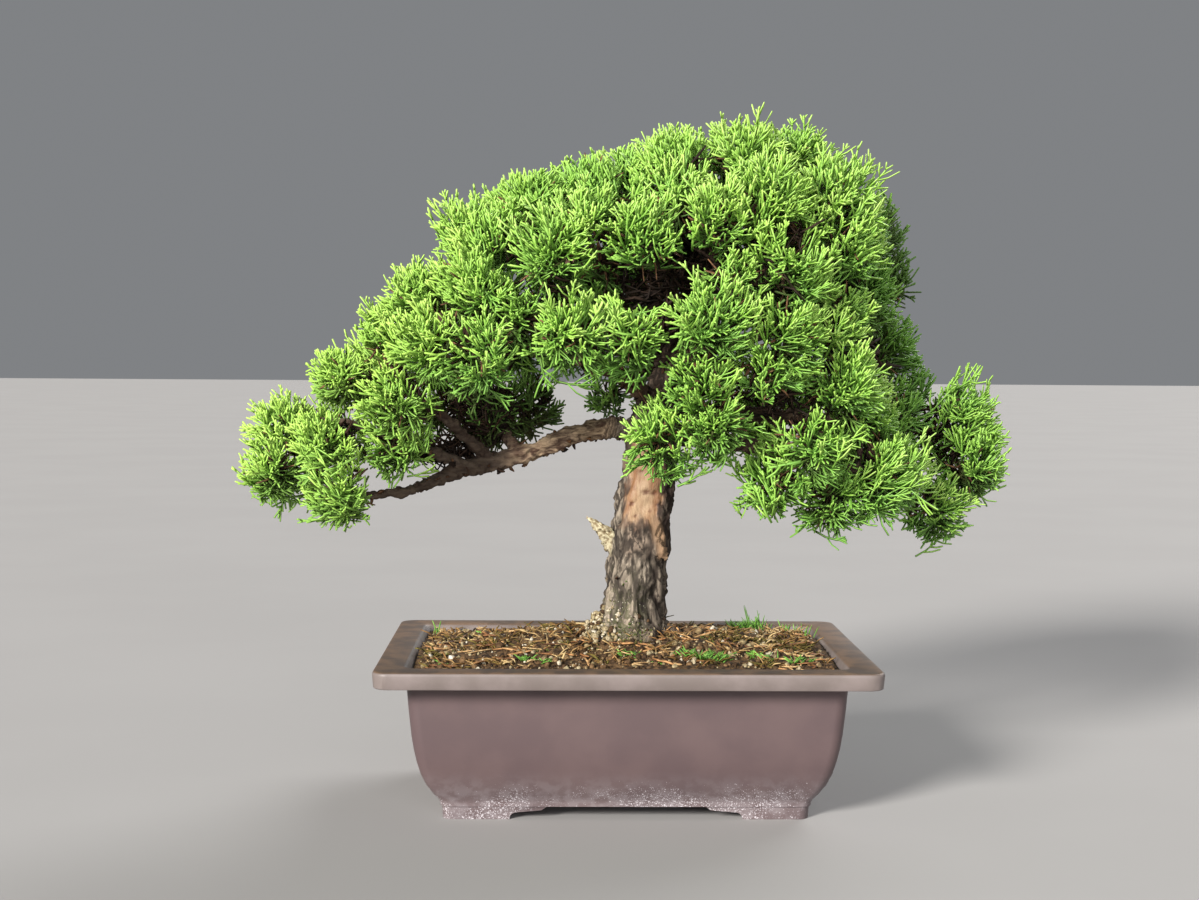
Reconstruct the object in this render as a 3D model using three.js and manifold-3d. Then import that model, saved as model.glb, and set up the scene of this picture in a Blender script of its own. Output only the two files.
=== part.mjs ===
// Juniper bonsai in a low rectangular pot: pot, drain nets, soil, tree wood and the sprays of foliage on it.
// Millimetres, +Z up, +X along the pot's long side, the front of the tree towards -Y.
// Places are measured from the pot's centre line, and the group then brings the plant's box over the origin.
import * as THREE from "three";
import { mergeVertices } from "three/addons/utils/BufferGeometryUtils.js";
import Module from "manifold-3d";

const wasm = await Module();
wasm.setup();

// Pot
const POT_LENGTH = 280;
const POT_DEPTH = 205;
const POT_HEIGHT = 88.7;
const POT_CORNER = 9;
const CORNER_STEPS = 3;
const RIM_HEIGHT = 9.4;
const RIM_WIDTH = 17;
const WALL = 3.2;
const FLOOR_Z = 11;
const FOOT_HEIGHT = 7.3;
const FOOT_LENGTH = 37.5;
const FOOT_DEPTH = 30;
const FOOT_CURL = 4;
const FOOT_STEP = 18;
const FOOT_RAMP = 3;
const FOOT_SLOPE = 1.2;
const DRAIN_X = 56;
const DRAIN_RADIUS = 11;
// Height and inset from the rim's edge of the pot's outside, from the underside to the rim.
const BODY_PROFILE = [
  [0, 36.8],
  [FOOT_HEIGHT, 35.8],
  [11.4, 34.2],
  [14.5, 31.6],
  [20.4, 27.8],
  [34.8, 22.7],
  [50, 20],
  [POT_HEIGHT - RIM_HEIGHT, 17.4],
];
// Heights at which the inner wall, and the soil against it, turn.
const WALL_TURNS = [FLOOR_Z, 14.5, 20.4, 34.8, 50];

// Drain nets and soil
const NET_SIZE = 34;
const NET_THICKNESS = 1;
const NET_HOLE = 9;
const NET_PITCH = 12;
const GAP = 0.35;
const SOIL_EDGE = 84;
const SOIL_MOUND = 11.5;
const MOUND_X = 88;
const MOUND_Y = 62;
const SOIL_RINGS = 5;
const SOIL_STEP = 28;
const CLOD = 1.6;

// Foliage: a tuft is a shaded heart and the shoots that stand out of it, as shares of the tuft's radius
const CORE_SHARE = 0.62;
const CORE_LUMP = 0.15;
const SHOOT_REACH = 1.13;
const SHOOT_SPREAD = 0.2;
const SHADED = 0.88;
const TWIG_LEAST = 0.55;
const CELL_GAP = 0.5;
const BRIDGE = 3;
const SHOOT_ROOT = 2.8;
const SHOOT_SUNK = 4;
const SHOOT_LEAST = 4;
const SHOOTS_MOST = 7;
const SHOOT_LEAN = 0.38;
const SHOOT_RISE = 0.5;

const BARK = { color: 0x7a6350, roughness: 0.9, metalness: 0 };
const LEAF = { color: 0x6aa83c, roughness: 0.6, metalness: 0 };
const CLAY = { color: 0x6f5f62, roughness: 0.55, metalness: 0 };
const EARTH = { color: 0x54432f, roughness: 1, metalness: 0 };
const NET = { color: 0x2a2c2b, roughness: 0.7, metalness: 0 };

// Wood
const BARK_RIDGE = 0.06;
// Each limb is [x, y, z, radius] from where it leaves the trunk to its tip.
const TRUNK = [
  [6, 1, 62, 9], [6, 0, 80, 16], [6, 0, 94, 23], [6, 0, 101, 20.5],
  [6, 0, 112, 18.2], [7, 0, 130, 17.6], [8, 0, 150, 17.8], [11, 0, 169, 16.8],
  [14, 0, 187, 15.8], [15, 0, 202, 15.4], [16, 0, 217, 15], [20, 1, 232, 12.6],
  [27, 3, 250, 10.6], [36, 4, 275, 8.6], [47, 2, 300, 6.8], [56, 2, 325, 5],
  [63, 4, 350, 3.2],
];
const LIMBS = {
  leftLimb: [
    [12, 0, 214, 8], [-8, -2, 218, 7], [-28, -3, 215, 6.6], [-52, -6, 205, 6.2],
    [-77, -12, 198, 5.6], [-98, -19, 193, 4.8], [-127, -32, 181, 3.2], [-157, -38, 179, 2.6],
    [-190, -37, 190, 1.8],
  ],
  leftInner: [
    [-90, -16, 195, 4.4], [-112, -30, 205, 3.6], [-134, -42, 212, 3], [-158, -46, 222, 2.4],
    [-180, -36, 224, 1.6],
  ],
  leftRiser: [
    [-78, -13, 199, 4.2], [-98, -26, 218, 3.6], [-118, -38, 236, 3], [-138, -34, 256, 2.2],
  ],
  leftBack: [[-62, -9, 203, 4], [-72, 4, 216, 3.2], [-70, 24, 226, 2.6], [-60, 40, 232, 1.8]],
  frontLeft: [
    [16, -4, 234, 6], [3, -32, 245, 5], [-14, -58, 254, 4.4], [-36, -66, 262, 4],
    [-64, -62, 268, 3.4], [-94, -52, 274, 2.8], [-114, -40, 286, 2],
  ],
  upperLeft: [
    [36, 4, 275, 5.2], [14, -8, 294, 4.6], [-16, -22, 308, 4], [-50, -28, 318, 3.2],
    [-84, -26, 325, 2.2],
  ],
  frontMiddle: [[26, 2, 248, 5.4], [34, -26, 257, 4.4], [40, -54, 262, 3.6], [38, -80, 262, 2.4]],
  frontLow: [[15, -2, 210, 5], [24, -26, 218, 4], [32, -52, 220, 3.2], [42, -76, 222, 2.2]],
  rightLow: [
    [17, 1, 214, 7], [42, -6, 213, 5.8], [74, -22, 209, 4.8], [104, -38, 202, 4],
    [132, -46, 196, 3], [150, -46, 190, 2],
  ],
  rightBack: [
    [20, 2, 232, 7], [56, 22, 227, 5.6], [104, 38, 224, 4.6], [150, 36, 222, 3.6],
    [188, 24, 216, 2.4],
  ],
  rightMiddle: [[30, 3, 260, 5.6], [56, -20, 268, 4.6], [86, -48, 276, 3.8], [112, -48, 284, 2.4]],
  rightUpper: [[47, 2, 300, 4.6], [68, -12, 315, 3.8], [94, -26, 328, 3], [116, -30, 340, 2]],
  backRight: [[34, 4, 270, 5.6], [58, 38, 276, 4.6], [88, 66, 284, 3.8], [122, 66, 292, 2.4]],
  backMiddle: [[26, 3, 248, 5.4], [28, 36, 256, 4.4], [30, 70, 268, 3.4], [32, 92, 280, 2.2]],
  backLeft: [[30, 4, 260, 5.6], [2, 32, 272, 4.4], [-36, 58, 282, 3.6], [-76, 50, 288, 2.4]],
  topBackLeft: [[50, 2, 308, 4.2], [26, 28, 320, 3.4], [-6, 46, 326, 2.8], [-42, 44, 326, 1.8]],
  topBackRight: [[54, 2, 318, 4], [64, 32, 330, 3.2], [82, 58, 336, 2]],
  topFront: [[54, 2, 320, 4], [46, -26, 328, 3.2], [40, -54, 330, 2]],
};
// Surface roots: compass angle in degrees, reach and radius.
const ROOTS = [
  [188, 33, 6.2],
  [232, 28, 5.2],
  [296, 27, 5.4],
  [352, 31, 5.6],
  [52, 30, 5.4],
  [124, 29, 5.8],
];
// Dead stubs of cut branches, as [x, y, z, radius] from the wood to the tip.
const DEAD_STUBS = [
  [[0, -4, 144, 6], [-9, -6, 150, 4.6], [-15, -7, 158, 3], [-23, -8, 167, 0.6]],
  [[14, -10, 156, 5.5], [20, -13, 148, 4], [25, -14, 141, 1.8]],
];

// Each spray is one tuft of shoots, or two that have grown together: [x, y, z, radius].
const SPRAYS = {
  left_tip: [[-201, -40, 195, 23], [-194, -28, 217, 23]],
  left_front: [[-161, -60, 182, 24], [-168, -62, 212, 23]],
  left_shoulder: [[-164, -38, 241, 24], [-140, -45, 246, 23]],
  left_rise: [[-137, -32, 268, 25], [-114, -32, 292, 26]],
  left_heart: [[-129, -64, 234, 25], [-136, -52, 209, 23]],
  middle_left: [[-114, -66, 266, 24], [-82, -80, 263, 26]],
  middle_left_upper: [[-86, -66, 297, 26], [-61, -70, 283, 23]],
  upper_left_end: [[-90, -28, 332, 26], [-73, -55, 322, 24]],
  upper_left_top: [[-55, -32, 345, 26], [-18, -28, 355, 25]],
  upper_left_front: [[-43, -72, 315, 28], [-20, -60, 333, 24]],
  upper_centre: [[6, -74, 324, 28]],
  upper_hollow: [[7, -30, 349, 24], [3, 6, 364, 22]],
  centre_left: [[-31, -98, 271, 27], [2, -96, 272, 26]],
  centre_front: [[43, -102, 281, 28], [56, -85, 305, 20]],
  centre_low: [[37, -98, 250, 24]],
  low_front: [[18, -80, 216, 23], [49, -92, 227, 23]],
  crown_left: [[29, -22, 369, 23], [27, -52, 345, 23]],
  crown_top: [[67, -22, 372, 26], [100, 12, 380, 20]],
  crown_front: [[47, -80, 334, 23], [80, -64, 347, 25]],
  crown_right: [[117, -38, 352, 27], [120, -48, 320, 24]],
  right_upper_front: [[95, -60, 329, 20], [83, -80, 308, 26]],
  right_middle: [[119, -50, 290, 21], [111, -62, 272, 19]],
  right_front: [[83, -94, 273, 23], [74, -92, 250, 21]],
  right_shoulder: [[113, -70, 249, 24], [137, -45, 225, 21]],
  right_low_front: [[101, -78, 212, 26], [77, -72, 193, 21]],
  right_low_end: [[144, -52, 195, 28], [111, -60, 180, 20]],
  right_hanging: [[184, -10, 172, 21]],
  right_far: [[202, 20, 226, 27], [207, 12, 196, 24]],
  right_far_back: [[172, 46, 234, 24], [156, 40, 268, 24]],
  right_rear_wall: [[147, 30, 338, 24], [154, 42, 303, 25]],
  left_back_inner: [[-57, 45, 234, 21], [-85, 12, 229, 23]],
  back_small: [[-8, 74, 238, 16]],
  back_crown_left: [[-9, 35, 355, 25], [34, 35, 370, 25]],
  back_crown_right: [[74, 42, 372, 25], [115, 40, 362, 25]],
  back_upper_left_end: [[-75, 28, 333, 25], [-36, 62, 338, 26]],
  back_upper_middle: [[9, 82, 340, 26], [54, 90, 345, 26]],
  back_upper_right: [[98, 85, 339, 26], [136, 68, 326, 25]],
  back_left_end: [[-115, 22, 291, 25], [-81, 62, 300, 26]],
  back_left_middle: [[-39, 88, 301, 26], [7, 104, 305, 27]],
  back_middle: [[53, 110, 305, 27], [97, 104, 302, 26]],
  back_right_end: [[139, 84, 292, 25], [154, 80, 252, 24]],
  back_left_low: [[-150, 12, 248, 24], [-136, 5, 219, 23]],
  back_left_inner: [[-109, 45, 266, 25], [-109, 30, 231, 23]],
  back_left_under: [[-67, 80, 272, 25], [-21, 102, 273, 24]],
  back_low_middle: [[27, 114, 265, 25], [72, 114, 264, 25]],
  back_under_right: [[92, 80, 222, 24], [116, 100, 257, 25]],
  back_right_tip: [[166, 60, 200, 24], [131, 82, 214, 24]],
  back_right_under: [[98, 16, 192, 20], [135, 24, 187, 21]],
  back_left_tip: [[-171, 2, 214, 23], [-185, -6, 193, 19]],
  upper_throat: [[-14, -48, 312, 22]],
  right_throat: [[146, -22, 202, 21], [168, 12, 224, 20]],
  left_throat: [[-92, -50, 254, 20]],
  top_ridge: [[-64, 2, 345, 24], [-30, 8, 354, 23]],
  crown_ridge: [[36, 7, 374, 22], [68, 12, 381, 21]],
  right_inner: [[134, -6, 336, 24], [133, -6, 291, 24]],
};

const vec = (x, y, z) => new THREE.Vector3(x, y, z);

// A seeded random number from 0 to 1 at each call.
function seeded(seed) {
  let state = seed >>> 0;
  return () => {
    state = (state + 0x6d2b79f5) | 0;
    let t = Math.imul(state ^ (state >>> 15), 1 | state);
    t = (t + Math.imul(t ^ (t >>> 7), 61 | t)) ^ t;
    return ((t ^ (t >>> 14)) >>> 0) / 4294967296;
  };
}

// A closed three.js geometry as a solid that can be joined and cut.
function solid(geometry) {
  const bare = geometry.clone();
  bare.deleteAttribute("normal");
  bare.deleteAttribute("uv");
  const merged = mergeVertices(bare, 1e-4);
  return new wasm.Manifold(
    new wasm.Mesh({
      numProp: 3,
      vertProperties: new Float32Array(merged.attributes.position.array),
      triVerts: new Uint32Array(merged.index.array),
    }),
  );
}

// The largest body of a solid as a three.js geometry with flat faces.
function geometryOf(made) {
  const largest = made.decompose().reduce((a, b) => (b.volume() > a.volume() ? b : a));
  const mesh = largest.getMesh();
  const geometry = new THREE.BufferGeometry();
  geometry.setAttribute("position", new THREE.BufferAttribute(new Float32Array(mesh.vertProperties), 3));
  geometry.setIndex(new THREE.BufferAttribute(new Uint32Array(mesh.triVerts), 1));
  return geometry;
}

function named(name, made, finish) {
  const mesh = new THREE.Mesh(geometryOf(made), new THREE.MeshStandardMaterial(finish));
  mesh.name = name;
  return mesh;
}

// A skin over rings of points, closed at both ends by a fan about each end ring's middle.
function loft(rings) {
  const count = rings[0].length;
  const middle = (ring) => ring.reduce((sum, p) => sum.add(p), vec(0, 0, 0)).divideScalar(count);
  const points = [...rings.flat(), middle(rings[0]), middle(rings[rings.length - 1])];
  const start = rings.length * count;
  const index = [];
  for (let i = 0; i < count; i++) {
    const next = (i + 1) % count;
    for (let r = 0; r + 1 < rings.length; r++) {
      const [a, b, c, d] = [r * count + i, r * count + next, (r + 1) * count + next, (r + 1) * count + i];
      index.push(a, b, c, a, c, d);
    }
    const top = (rings.length - 1) * count;
    index.push(start, next, i, start + 1, top + i, top + next);
  }
  const geometry = new THREE.BufferGeometry().setFromPoints(points);
  geometry.setIndex(index);
  return solid(geometry);
}

// A rounded rectangle at height z, `inset` inside the pot's rim.
function potRing(z, inset) {
  const [halfX, halfY] = [POT_LENGTH / 2 - inset, POT_DEPTH / 2 - inset];
  const corner = Math.max(2.5, POT_CORNER - inset * 0.08);
  const ring = [];
  for (let quarter = 0; quarter < 4; quarter++) {
    const [sx, sy] = [[1, -1], [1, 1], [-1, 1], [-1, -1]][quarter];
    for (let k = 0; k <= CORNER_STEPS; k++) {
      const angle = (quarter - 1 + k / CORNER_STEPS) * (Math.PI / 2);
      ring.push(vec(
        sx * (halfX - corner) + corner * Math.cos(angle),
        sy * (halfY - corner) + corner * Math.sin(angle),
        z,
      ));
    }
  }
  return ring;
}

// The inset of the pot's inner wall at height z.
function innerInset(z) {
  const at = BODY_PROFILE.findIndex(([height]) => height >= z);
  const upper = at < 0 ? BODY_PROFILE[BODY_PROFILE.length - 1] : BODY_PROFILE[at];
  const lower = BODY_PROFILE[Math.max(0, (at < 0 ? BODY_PROFILE.length : at) - 1)];
  const share = upper[0] === lower[0] ? 0 : Math.min(1, (z - lower[0]) / (upper[0] - lower[0]));
  return lower[1] + (upper[1] - lower[1]) * share + WALL;
}

// The stepped arch between two feet, as an outline to cut along the pot's length or depth.
function archShape(half, foot) {
  const edge = half - foot;
  const shape = new THREE.Shape();
  shape.moveTo(-edge, -1);
  shape.lineTo(-edge, 0);
  shape.quadraticCurveTo(-edge, FOOT_CURL, -edge + FOOT_CURL, FOOT_CURL);
  shape.lineTo(-edge + FOOT_STEP, FOOT_CURL + FOOT_SLOPE);
  shape.lineTo(-edge + FOOT_STEP + FOOT_RAMP, FOOT_HEIGHT);
  shape.lineTo(edge - FOOT_STEP - FOOT_RAMP, FOOT_HEIGHT);
  shape.lineTo(edge - FOOT_STEP, FOOT_CURL + FOOT_SLOPE);
  shape.lineTo(edge - FOOT_CURL, FOOT_CURL);
  shape.quadraticCurveTo(edge, FOOT_CURL, edge, 0);
  shape.lineTo(edge, -1);
  return shape;
}

function makePot() {
  const outside = BODY_PROFILE.map(([z, inset]) => potRing(z, inset));
  const rim = [
    potRing(POT_HEIGHT - RIM_HEIGHT, 0.6),
    potRing(POT_HEIGHT - 1.6, 0),
    potRing(POT_HEIGHT - 0.4, 0.5),
    potRing(POT_HEIGHT, 1.8),
  ];
  const inside = [
    potRing(POT_HEIGHT, RIM_WIDTH - 0.8),
    potRing(POT_HEIGHT - 1.4, RIM_WIDTH + 0.6),
    potRing(POT_HEIGHT - RIM_HEIGHT, innerInset(POT_HEIGHT)),
    ...WALL_TURNS.toReversed().map((z) => potRing(z, innerInset(z))),
  ];
  let pot = loft([...outside, ...rim, ...inside]);
  const through = { depth: POT_LENGTH, bevelEnabled: false, curveSegments: 4 };
  const arch = (half, foot) =>
    new THREE.ExtrudeGeometry(archShape(half, foot), through)
      .translate(0, 0, -POT_LENGTH / 2)
      .rotateX(Math.PI / 2);
  const base = BODY_PROFILE[0][1];
  pot = pot.subtract(solid(arch(POT_LENGTH / 2 - base, FOOT_LENGTH)));
  pot = pot.subtract(solid(arch(POT_DEPTH / 2 - base, FOOT_DEPTH).rotateZ(Math.PI / 2)));
  for (const side of [-1, 1]) {
    const drain = new THREE.CylinderGeometry(DRAIN_RADIUS, DRAIN_RADIUS, 4 * FLOOR_Z, 14);
    pot = pot.subtract(solid(drain.rotateX(Math.PI / 2).translate(side * DRAIN_X, 0, 0)));
  }
  return pot;
}

function makeNet(side) {
  const boxAt = (x, y, size, tall) => solid(new THREE.BoxGeometry(size, size, tall).translate(x, y, 0));
  let net = boxAt(0, 0, NET_SIZE, NET_THICKNESS);
  const rows = [-NET_PITCH / 2, NET_PITCH / 2];
  const holes = rows.flatMap((x) => rows.map((y) => [x, y]));
  for (const [x, y] of holes) net = net.subtract(boxAt(x, y, NET_HOLE, 3 * NET_THICKNESS));
  return net.translate(side * DRAIN_X, 0, FLOOR_Z + GAP + NET_THICKNESS / 2);
}

// The soil's height over the pot: a low mound about the trunk with clods in it.
function soilHeight(x, y) {
  const mound = SOIL_MOUND * Math.exp(-(((x - 6) / MOUND_X) ** 2) - (y / MOUND_Y) ** 2);
  const clods = Math.sin(x * 0.4 + 1.3 * Math.sin(y * 0.2)) * Math.sin(y * 0.4 + 1.7 * Math.sin(x * 0.2));
  const slope = 1.2 * Math.sin(x * 0.03 + 0.6);
  return SOIL_EDGE + mound + CLOD * clods + slope;
}

// A ring with more points along its straight sides.
function filled(ring, step) {
  return ring.flatMap((p, i) => {
    const next = ring[(i + 1) % ring.length];
    const parts = Math.max(1, Math.round(p.distanceTo(next) / step));
    return Array.from({ length: parts }, (_, k) => p.clone().lerp(next, k / parts));
  });
}

function makeSoil(roots) {
  const shoulder = SOIL_EDGE - 5;
  const sides = [FLOOR_Z + GAP, ...WALL_TURNS.slice(1), shoulder];
  const body = loft(sides.map((z) => potRing(z, innerInset(z) + GAP)));
  const edge = filled(potRing(shoulder - 1, innerInset(shoulder) + GAP + 0.1), SOIL_STEP);
  const top = [edge];
  for (let k = 0; k < SOIL_RINGS; k++) {
    const share = 1 - k / SOIL_RINGS;
    top.push(edge.map((p) => vec(p.x * share, p.y * share, soilHeight(p.x * share, p.y * share))));
  }
  let soil = body.add(loft(top));
  for (const side of [-1, 1]) {
    const seat = new THREE.BoxGeometry(NET_SIZE + 2 * GAP, NET_SIZE + 2 * GAP, NET_THICKNESS + 2 * GAP);
    soil = soil.subtract(solid(seat.translate(side * DRAIN_X, 0, FLOOR_Z + GAP + NET_THICKNESS / 2)));
  }
  return soil.subtract(roots);
}

// A limb along points [x, y, z, radius], `grow` mm thicker all round, with ridges of bark.
function limb(route, sides, grow = 0, ridge = 0) {
  const points = route.map(([x, y, z]) => vec(x, y, z));
  const last = points.length - 1;
  let across = vec(1, 0.13, 0.21);
  const rings = points.map((p, k) => {
    const along = points[Math.min(k + 1, last)].clone().sub(points[Math.max(k - 1, 0)]).normalize();
    across = across.clone().addScaledVector(along, -across.dot(along)).normalize();
    const other = along.clone().cross(across);
    return Array.from({ length: sides }, (_, i) => {
      const angle = (i / sides) * 2 * Math.PI;
      const wave = ridge * (Math.sin(3 * angle + 0.35 * k) + 0.7 * Math.sin(5 * angle - 0.8 * k));
      const radius = route[k][3] * (1 + wave) + grow;
      const out = across.clone().multiplyScalar(Math.cos(angle)).addScaledVector(other, Math.sin(angle));
      return out.multiplyScalar(radius).add(p);
    });
  });
  const lengthen = (end, inner) => {
    const outwards = points[end].clone().sub(points[inner]).normalize();
    rings[end].forEach((p) => p.addScaledVector(outwards, grow));
  };
  lengthen(0, 1);
  lengthen(last, last - 1);
  return loft(rings);
}

const join = (parts) => parts.reduce((a, b) => a.add(b));

// A root that leaves the trunk's foot and dips into the soil.
function rootRoute([compass, reach, radius]) {
  const angle = (compass / 180) * Math.PI;
  const at = (share, z, r) => [6 + reach * share * Math.cos(angle), reach * share * Math.sin(angle), z, r];
  return [at(0.3, 105, radius), at(0.75, 96, radius), at(1.1, 78, radius * 0.5)];
}

// The point of the branch network nearest to p, leaving out the bare trunk.
function nearestOnLimbs(p) {
  let best = { distance: Infinity };
  const routes = [...Object.values(LIMBS), TRUNK.slice(12)];
  for (const route of routes)
    for (let k = 0; k + 1 < route.length; k++) {
      const line = new THREE.Line3(vec(...route[k].slice(0, 3)), vec(...route[k + 1].slice(0, 3)));
      const point = line.closestPointToPoint(p, true, vec(0, 0, 0));
      const distance = point.distanceTo(p);
      if (distance < best.distance) best = { distance, point, radius: route[k + 1][3] };
    }
  return best;
}

// The twig from the nearest limb into a spray's nearest tuft, unless the limb is already in it.
function twigRoutes(list) {
  const ends = list.map(([x, y, z, radius]) => {
    const centre = vec(x, y, z);
    return { centre, radius, from: nearestOnLimbs(centre) };
  });
  const { centre, radius, from } = ends.reduce((a, b) => (b.from.distance < a.from.distance ? b : a));
  if (from.distance < TWIG_LEAST * radius) return [];
  const thick = Math.min(2.6, Math.max(1.6, from.radius * 0.8));
  const end = from.point.clone().lerp(centre, 1 - (0.25 * radius) / from.distance);
  return [[[...from.point.toArray(), thick], [...end.toArray(), thick * 0.6]]];
}

// All the wood, `grow` mm thicker for the room that it needs in the soil and the foliage.
function makeWood(grow = 0) {
  return join([
    limb(TRUNK, 11, grow, BARK_RIDGE),
    ...Object.values(LIMBS).map((route) => limb(route, 5, grow)),
    ...ROOTS.map((root) => limb(rootRoute(root), 5, grow)),
    ...DEAD_STUBS.map((stub) => limb(stub, 5, grow)),
    ...Object.values(SPRAYS).flatMap(twigRoutes).map((route) => limb(route, 3, grow)),
  ]);
}

const tufts = Object.entries(SPRAYS).flatMap(([spray, list]) =>
  list.map(([x, y, z, radius]) => ({ spray, centre: vec(x, y, z), radius })),
);

// The room that a tuft has to itself: planes half way to its neighbours in other sprays.
for (const tuft of tufts) {
  tuft.walls = tufts
    .filter((other) => other.spray !== tuft.spray)
    .map((other) => {
      const towards = other.centre.clone().sub(tuft.centre);
      const apart = towards.length();
      const share = (apart ** 2 + tuft.radius ** 2 - other.radius ** 2) / (2 * apart);
      return { normal: towards.divideScalar(apart), offset: share - CELL_GAP };
    })
    .filter((wall) => wall.offset < tuft.radius * 1.3);
  tuft.partner = tufts.find((other) => other.spray === tuft.spray && other !== tuft);
}

// How far a ray from the tuft's centre can run before it meets a wall.
function roomAlong(tuft, direction, margin = 0) {
  return tuft.walls.reduce((least, { normal, offset }) => {
    const slope = normal.dot(direction);
    return slope > 1e-6 ? Math.min(least, Math.max(1.5, (offset - margin) / slope)) : least;
  }, Infinity);
}

const jitter = (random) => vec(random() - 0.5, random() - 0.5, random() - 0.5);
const cornerOf = (geometry, i) => vec(0, 0, 0).fromBufferAttribute(geometry.attributes.position, i);

// A tuft's shaded heart: a twenty-sided lump with one corner drawn out into its partner's.
function makeCore(tuft, random) {
  const ball = new THREE.IcosahedronGeometry(1, 0);
  ball.deleteAttribute("normal");
  ball.deleteAttribute("uv");
  const core = mergeVertices(ball);
  const { centre, radius, partner } = tuft;
  const { position } = core.attributes;
  const aim = partner ? partner.centre.clone().sub(centre) : jitter(random);
  const bridge = partner ? (aim.length() * radius) / (radius + partner.radius) + BRIDGE : 0;
  aim.normalize();
  const turn = new THREE.Quaternion().setFromUnitVectors(cornerOf(core, 0).normalize(), aim);
  const roll = random() * Math.PI;
  for (let i = 0; i < position.count; i++) {
    const direction = cornerOf(core, i).applyQuaternion(turn).applyAxisAngle(aim, roll);
    const lump = radius * CORE_SHARE * (1 + CORE_LUMP * (2 * random() - 1));
    const reach = Math.min(i === 0 ? Math.max(bridge, lump) : lump, roomAlong(tuft, direction));
    const p = centre.clone().addScaledVector(direction, reach);
    position.setXYZ(i, p.x, p.y, p.z);
  }
  return core;
}

// A three-sided shoot from root to tip.
function makeShoot({ root, tip }) {
  const length = root.distanceTo(tip);
  const shoot = new THREE.ConeGeometry(SHOOT_ROOT, length, 3).translate(0, length / 2, 0);
  const turn = new THREE.Quaternion().setFromUnitVectors(vec(0, 1, 0), tip.clone().sub(root).normalize());
  return solid(shoot.applyQuaternion(turn).translate(root.x, root.y, root.z));
}

// How open a point is to the light: its distance from the nearest other tuft, in that tuft's radii.
function openness(tuft, p) {
  const others = tufts.filter((other) => other !== tuft);
  return Math.min(...others.map((other) => other.centre.distanceTo(p) / other.radius));
}

// At most one shoot on each face of the heart, on the faces that are most open to the light.
function shootsOf(tuft, core, random) {
  const shoots = [];
  for (let face = 0; face < core.index.count; face += 3) {
    const [a, b, c] = [0, 1, 2].map((k) => cornerOf(core, core.index.getX(face + k)));
    const base = a.add(b).add(c).divideScalar(3);
    const direction = base.clone().sub(tuft.centre).normalize();
    const lean = jitter(random).multiplyScalar(2 * SHOOT_LEAN);
    const leaning = direction.clone().add(lean).add(vec(0, 0, SHOOT_RISE)).normalize();
    const wanted = tuft.radius * (SHOOT_REACH + SHOOT_SPREAD * random());
    const reach = Math.min(wanted, roomAlong(tuft, leaning, SHOOT_ROOT / 2));
    const root = base.clone().addScaledVector(direction, -SHOOT_SUNK);
    const tip = tuft.centre.clone().addScaledVector(leaning, reach);
    const open = openness(tuft, tip);
    const shown = reach - base.distanceTo(tuft.centre);
    if (shown > SHOOT_LEAST && open > SHADED) shoots.push({ root, tip, open });
  }
  return shoots.sort((a, b) => b.open - a.open).slice(0, SHOOTS_MOST).map(makeShoot);
}

const woodRoom = makeWood(GAP);

function makeSpray(spray, seed) {
  const random = seeded(seed);
  const own = tufts.filter((tuft) => tuft.spray === spray);
  const parts = own.flatMap((tuft) => {
    const core = makeCore(tuft, random);
    return [solid(core), ...shootsOf(tuft, core, random)];
  });
  return join(parts).subtract(woodRoom);
}

const plant = new THREE.Group();
plant.add(named("pot", makePot(), CLAY));
plant.add(named("drain_net_left", makeNet(-1), NET));
plant.add(named("drain_net_right", makeNet(1), NET));
plant.add(named("soil", makeSoil(woodRoom), EARTH));
plant.add(named("tree_wood", makeWood(), BARK));
Object.keys(SPRAYS).forEach((spray, k) => {
  plant.add(named("spray_" + spray, makeSpray(spray, 101 + 17 * k), LEAF));
});

const box = new THREE.Box3().setFromObject(plant);
const middle = box.getCenter(vec(0, 0, 0));
plant.position.set(-middle.x, -middle.y, -box.min.z);

export default plant;
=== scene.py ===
# Juniper bonsai in a low rectangular pot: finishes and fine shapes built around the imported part.
# Shapes are worked out in millimetres from the pot's centre line on the floor, then moved into the frame.
import math

import bmesh
import bpy
import numpy as np
from mathutils import Matrix, Vector, noise
from mathutils.bvhtree import BVHTree


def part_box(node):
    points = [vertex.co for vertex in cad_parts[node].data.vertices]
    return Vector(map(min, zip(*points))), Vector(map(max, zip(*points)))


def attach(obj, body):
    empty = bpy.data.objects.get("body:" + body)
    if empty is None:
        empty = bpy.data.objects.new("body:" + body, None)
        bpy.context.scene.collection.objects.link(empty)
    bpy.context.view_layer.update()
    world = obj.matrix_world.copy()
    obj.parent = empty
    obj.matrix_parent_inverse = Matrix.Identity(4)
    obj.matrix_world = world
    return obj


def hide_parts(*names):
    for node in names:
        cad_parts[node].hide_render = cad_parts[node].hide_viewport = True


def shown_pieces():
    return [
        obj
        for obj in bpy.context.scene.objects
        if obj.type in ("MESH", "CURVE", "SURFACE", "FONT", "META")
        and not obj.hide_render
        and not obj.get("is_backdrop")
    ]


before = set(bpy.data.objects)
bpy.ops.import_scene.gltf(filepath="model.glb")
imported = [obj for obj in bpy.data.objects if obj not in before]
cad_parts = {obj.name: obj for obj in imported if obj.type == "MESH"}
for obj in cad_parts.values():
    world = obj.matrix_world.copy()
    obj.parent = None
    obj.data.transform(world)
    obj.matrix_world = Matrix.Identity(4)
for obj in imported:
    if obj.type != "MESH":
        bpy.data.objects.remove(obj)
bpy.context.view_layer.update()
noise.seed_set(4)  # without this, Blender's noise vectors change from run to run
mm = 0.001
potLow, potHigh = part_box("pot")
origin = np.array([(potLow.x + potHigh.x) / 2, (potLow.y + potHigh.y) / 2, potLow.z])
print("frame loaded:", len(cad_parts), "nodes")


def toFrame(points):
    return np.asarray(points, float) * mm + origin


def fromFrame(points):
    return (np.asarray(points, float) - origin) / mm


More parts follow.
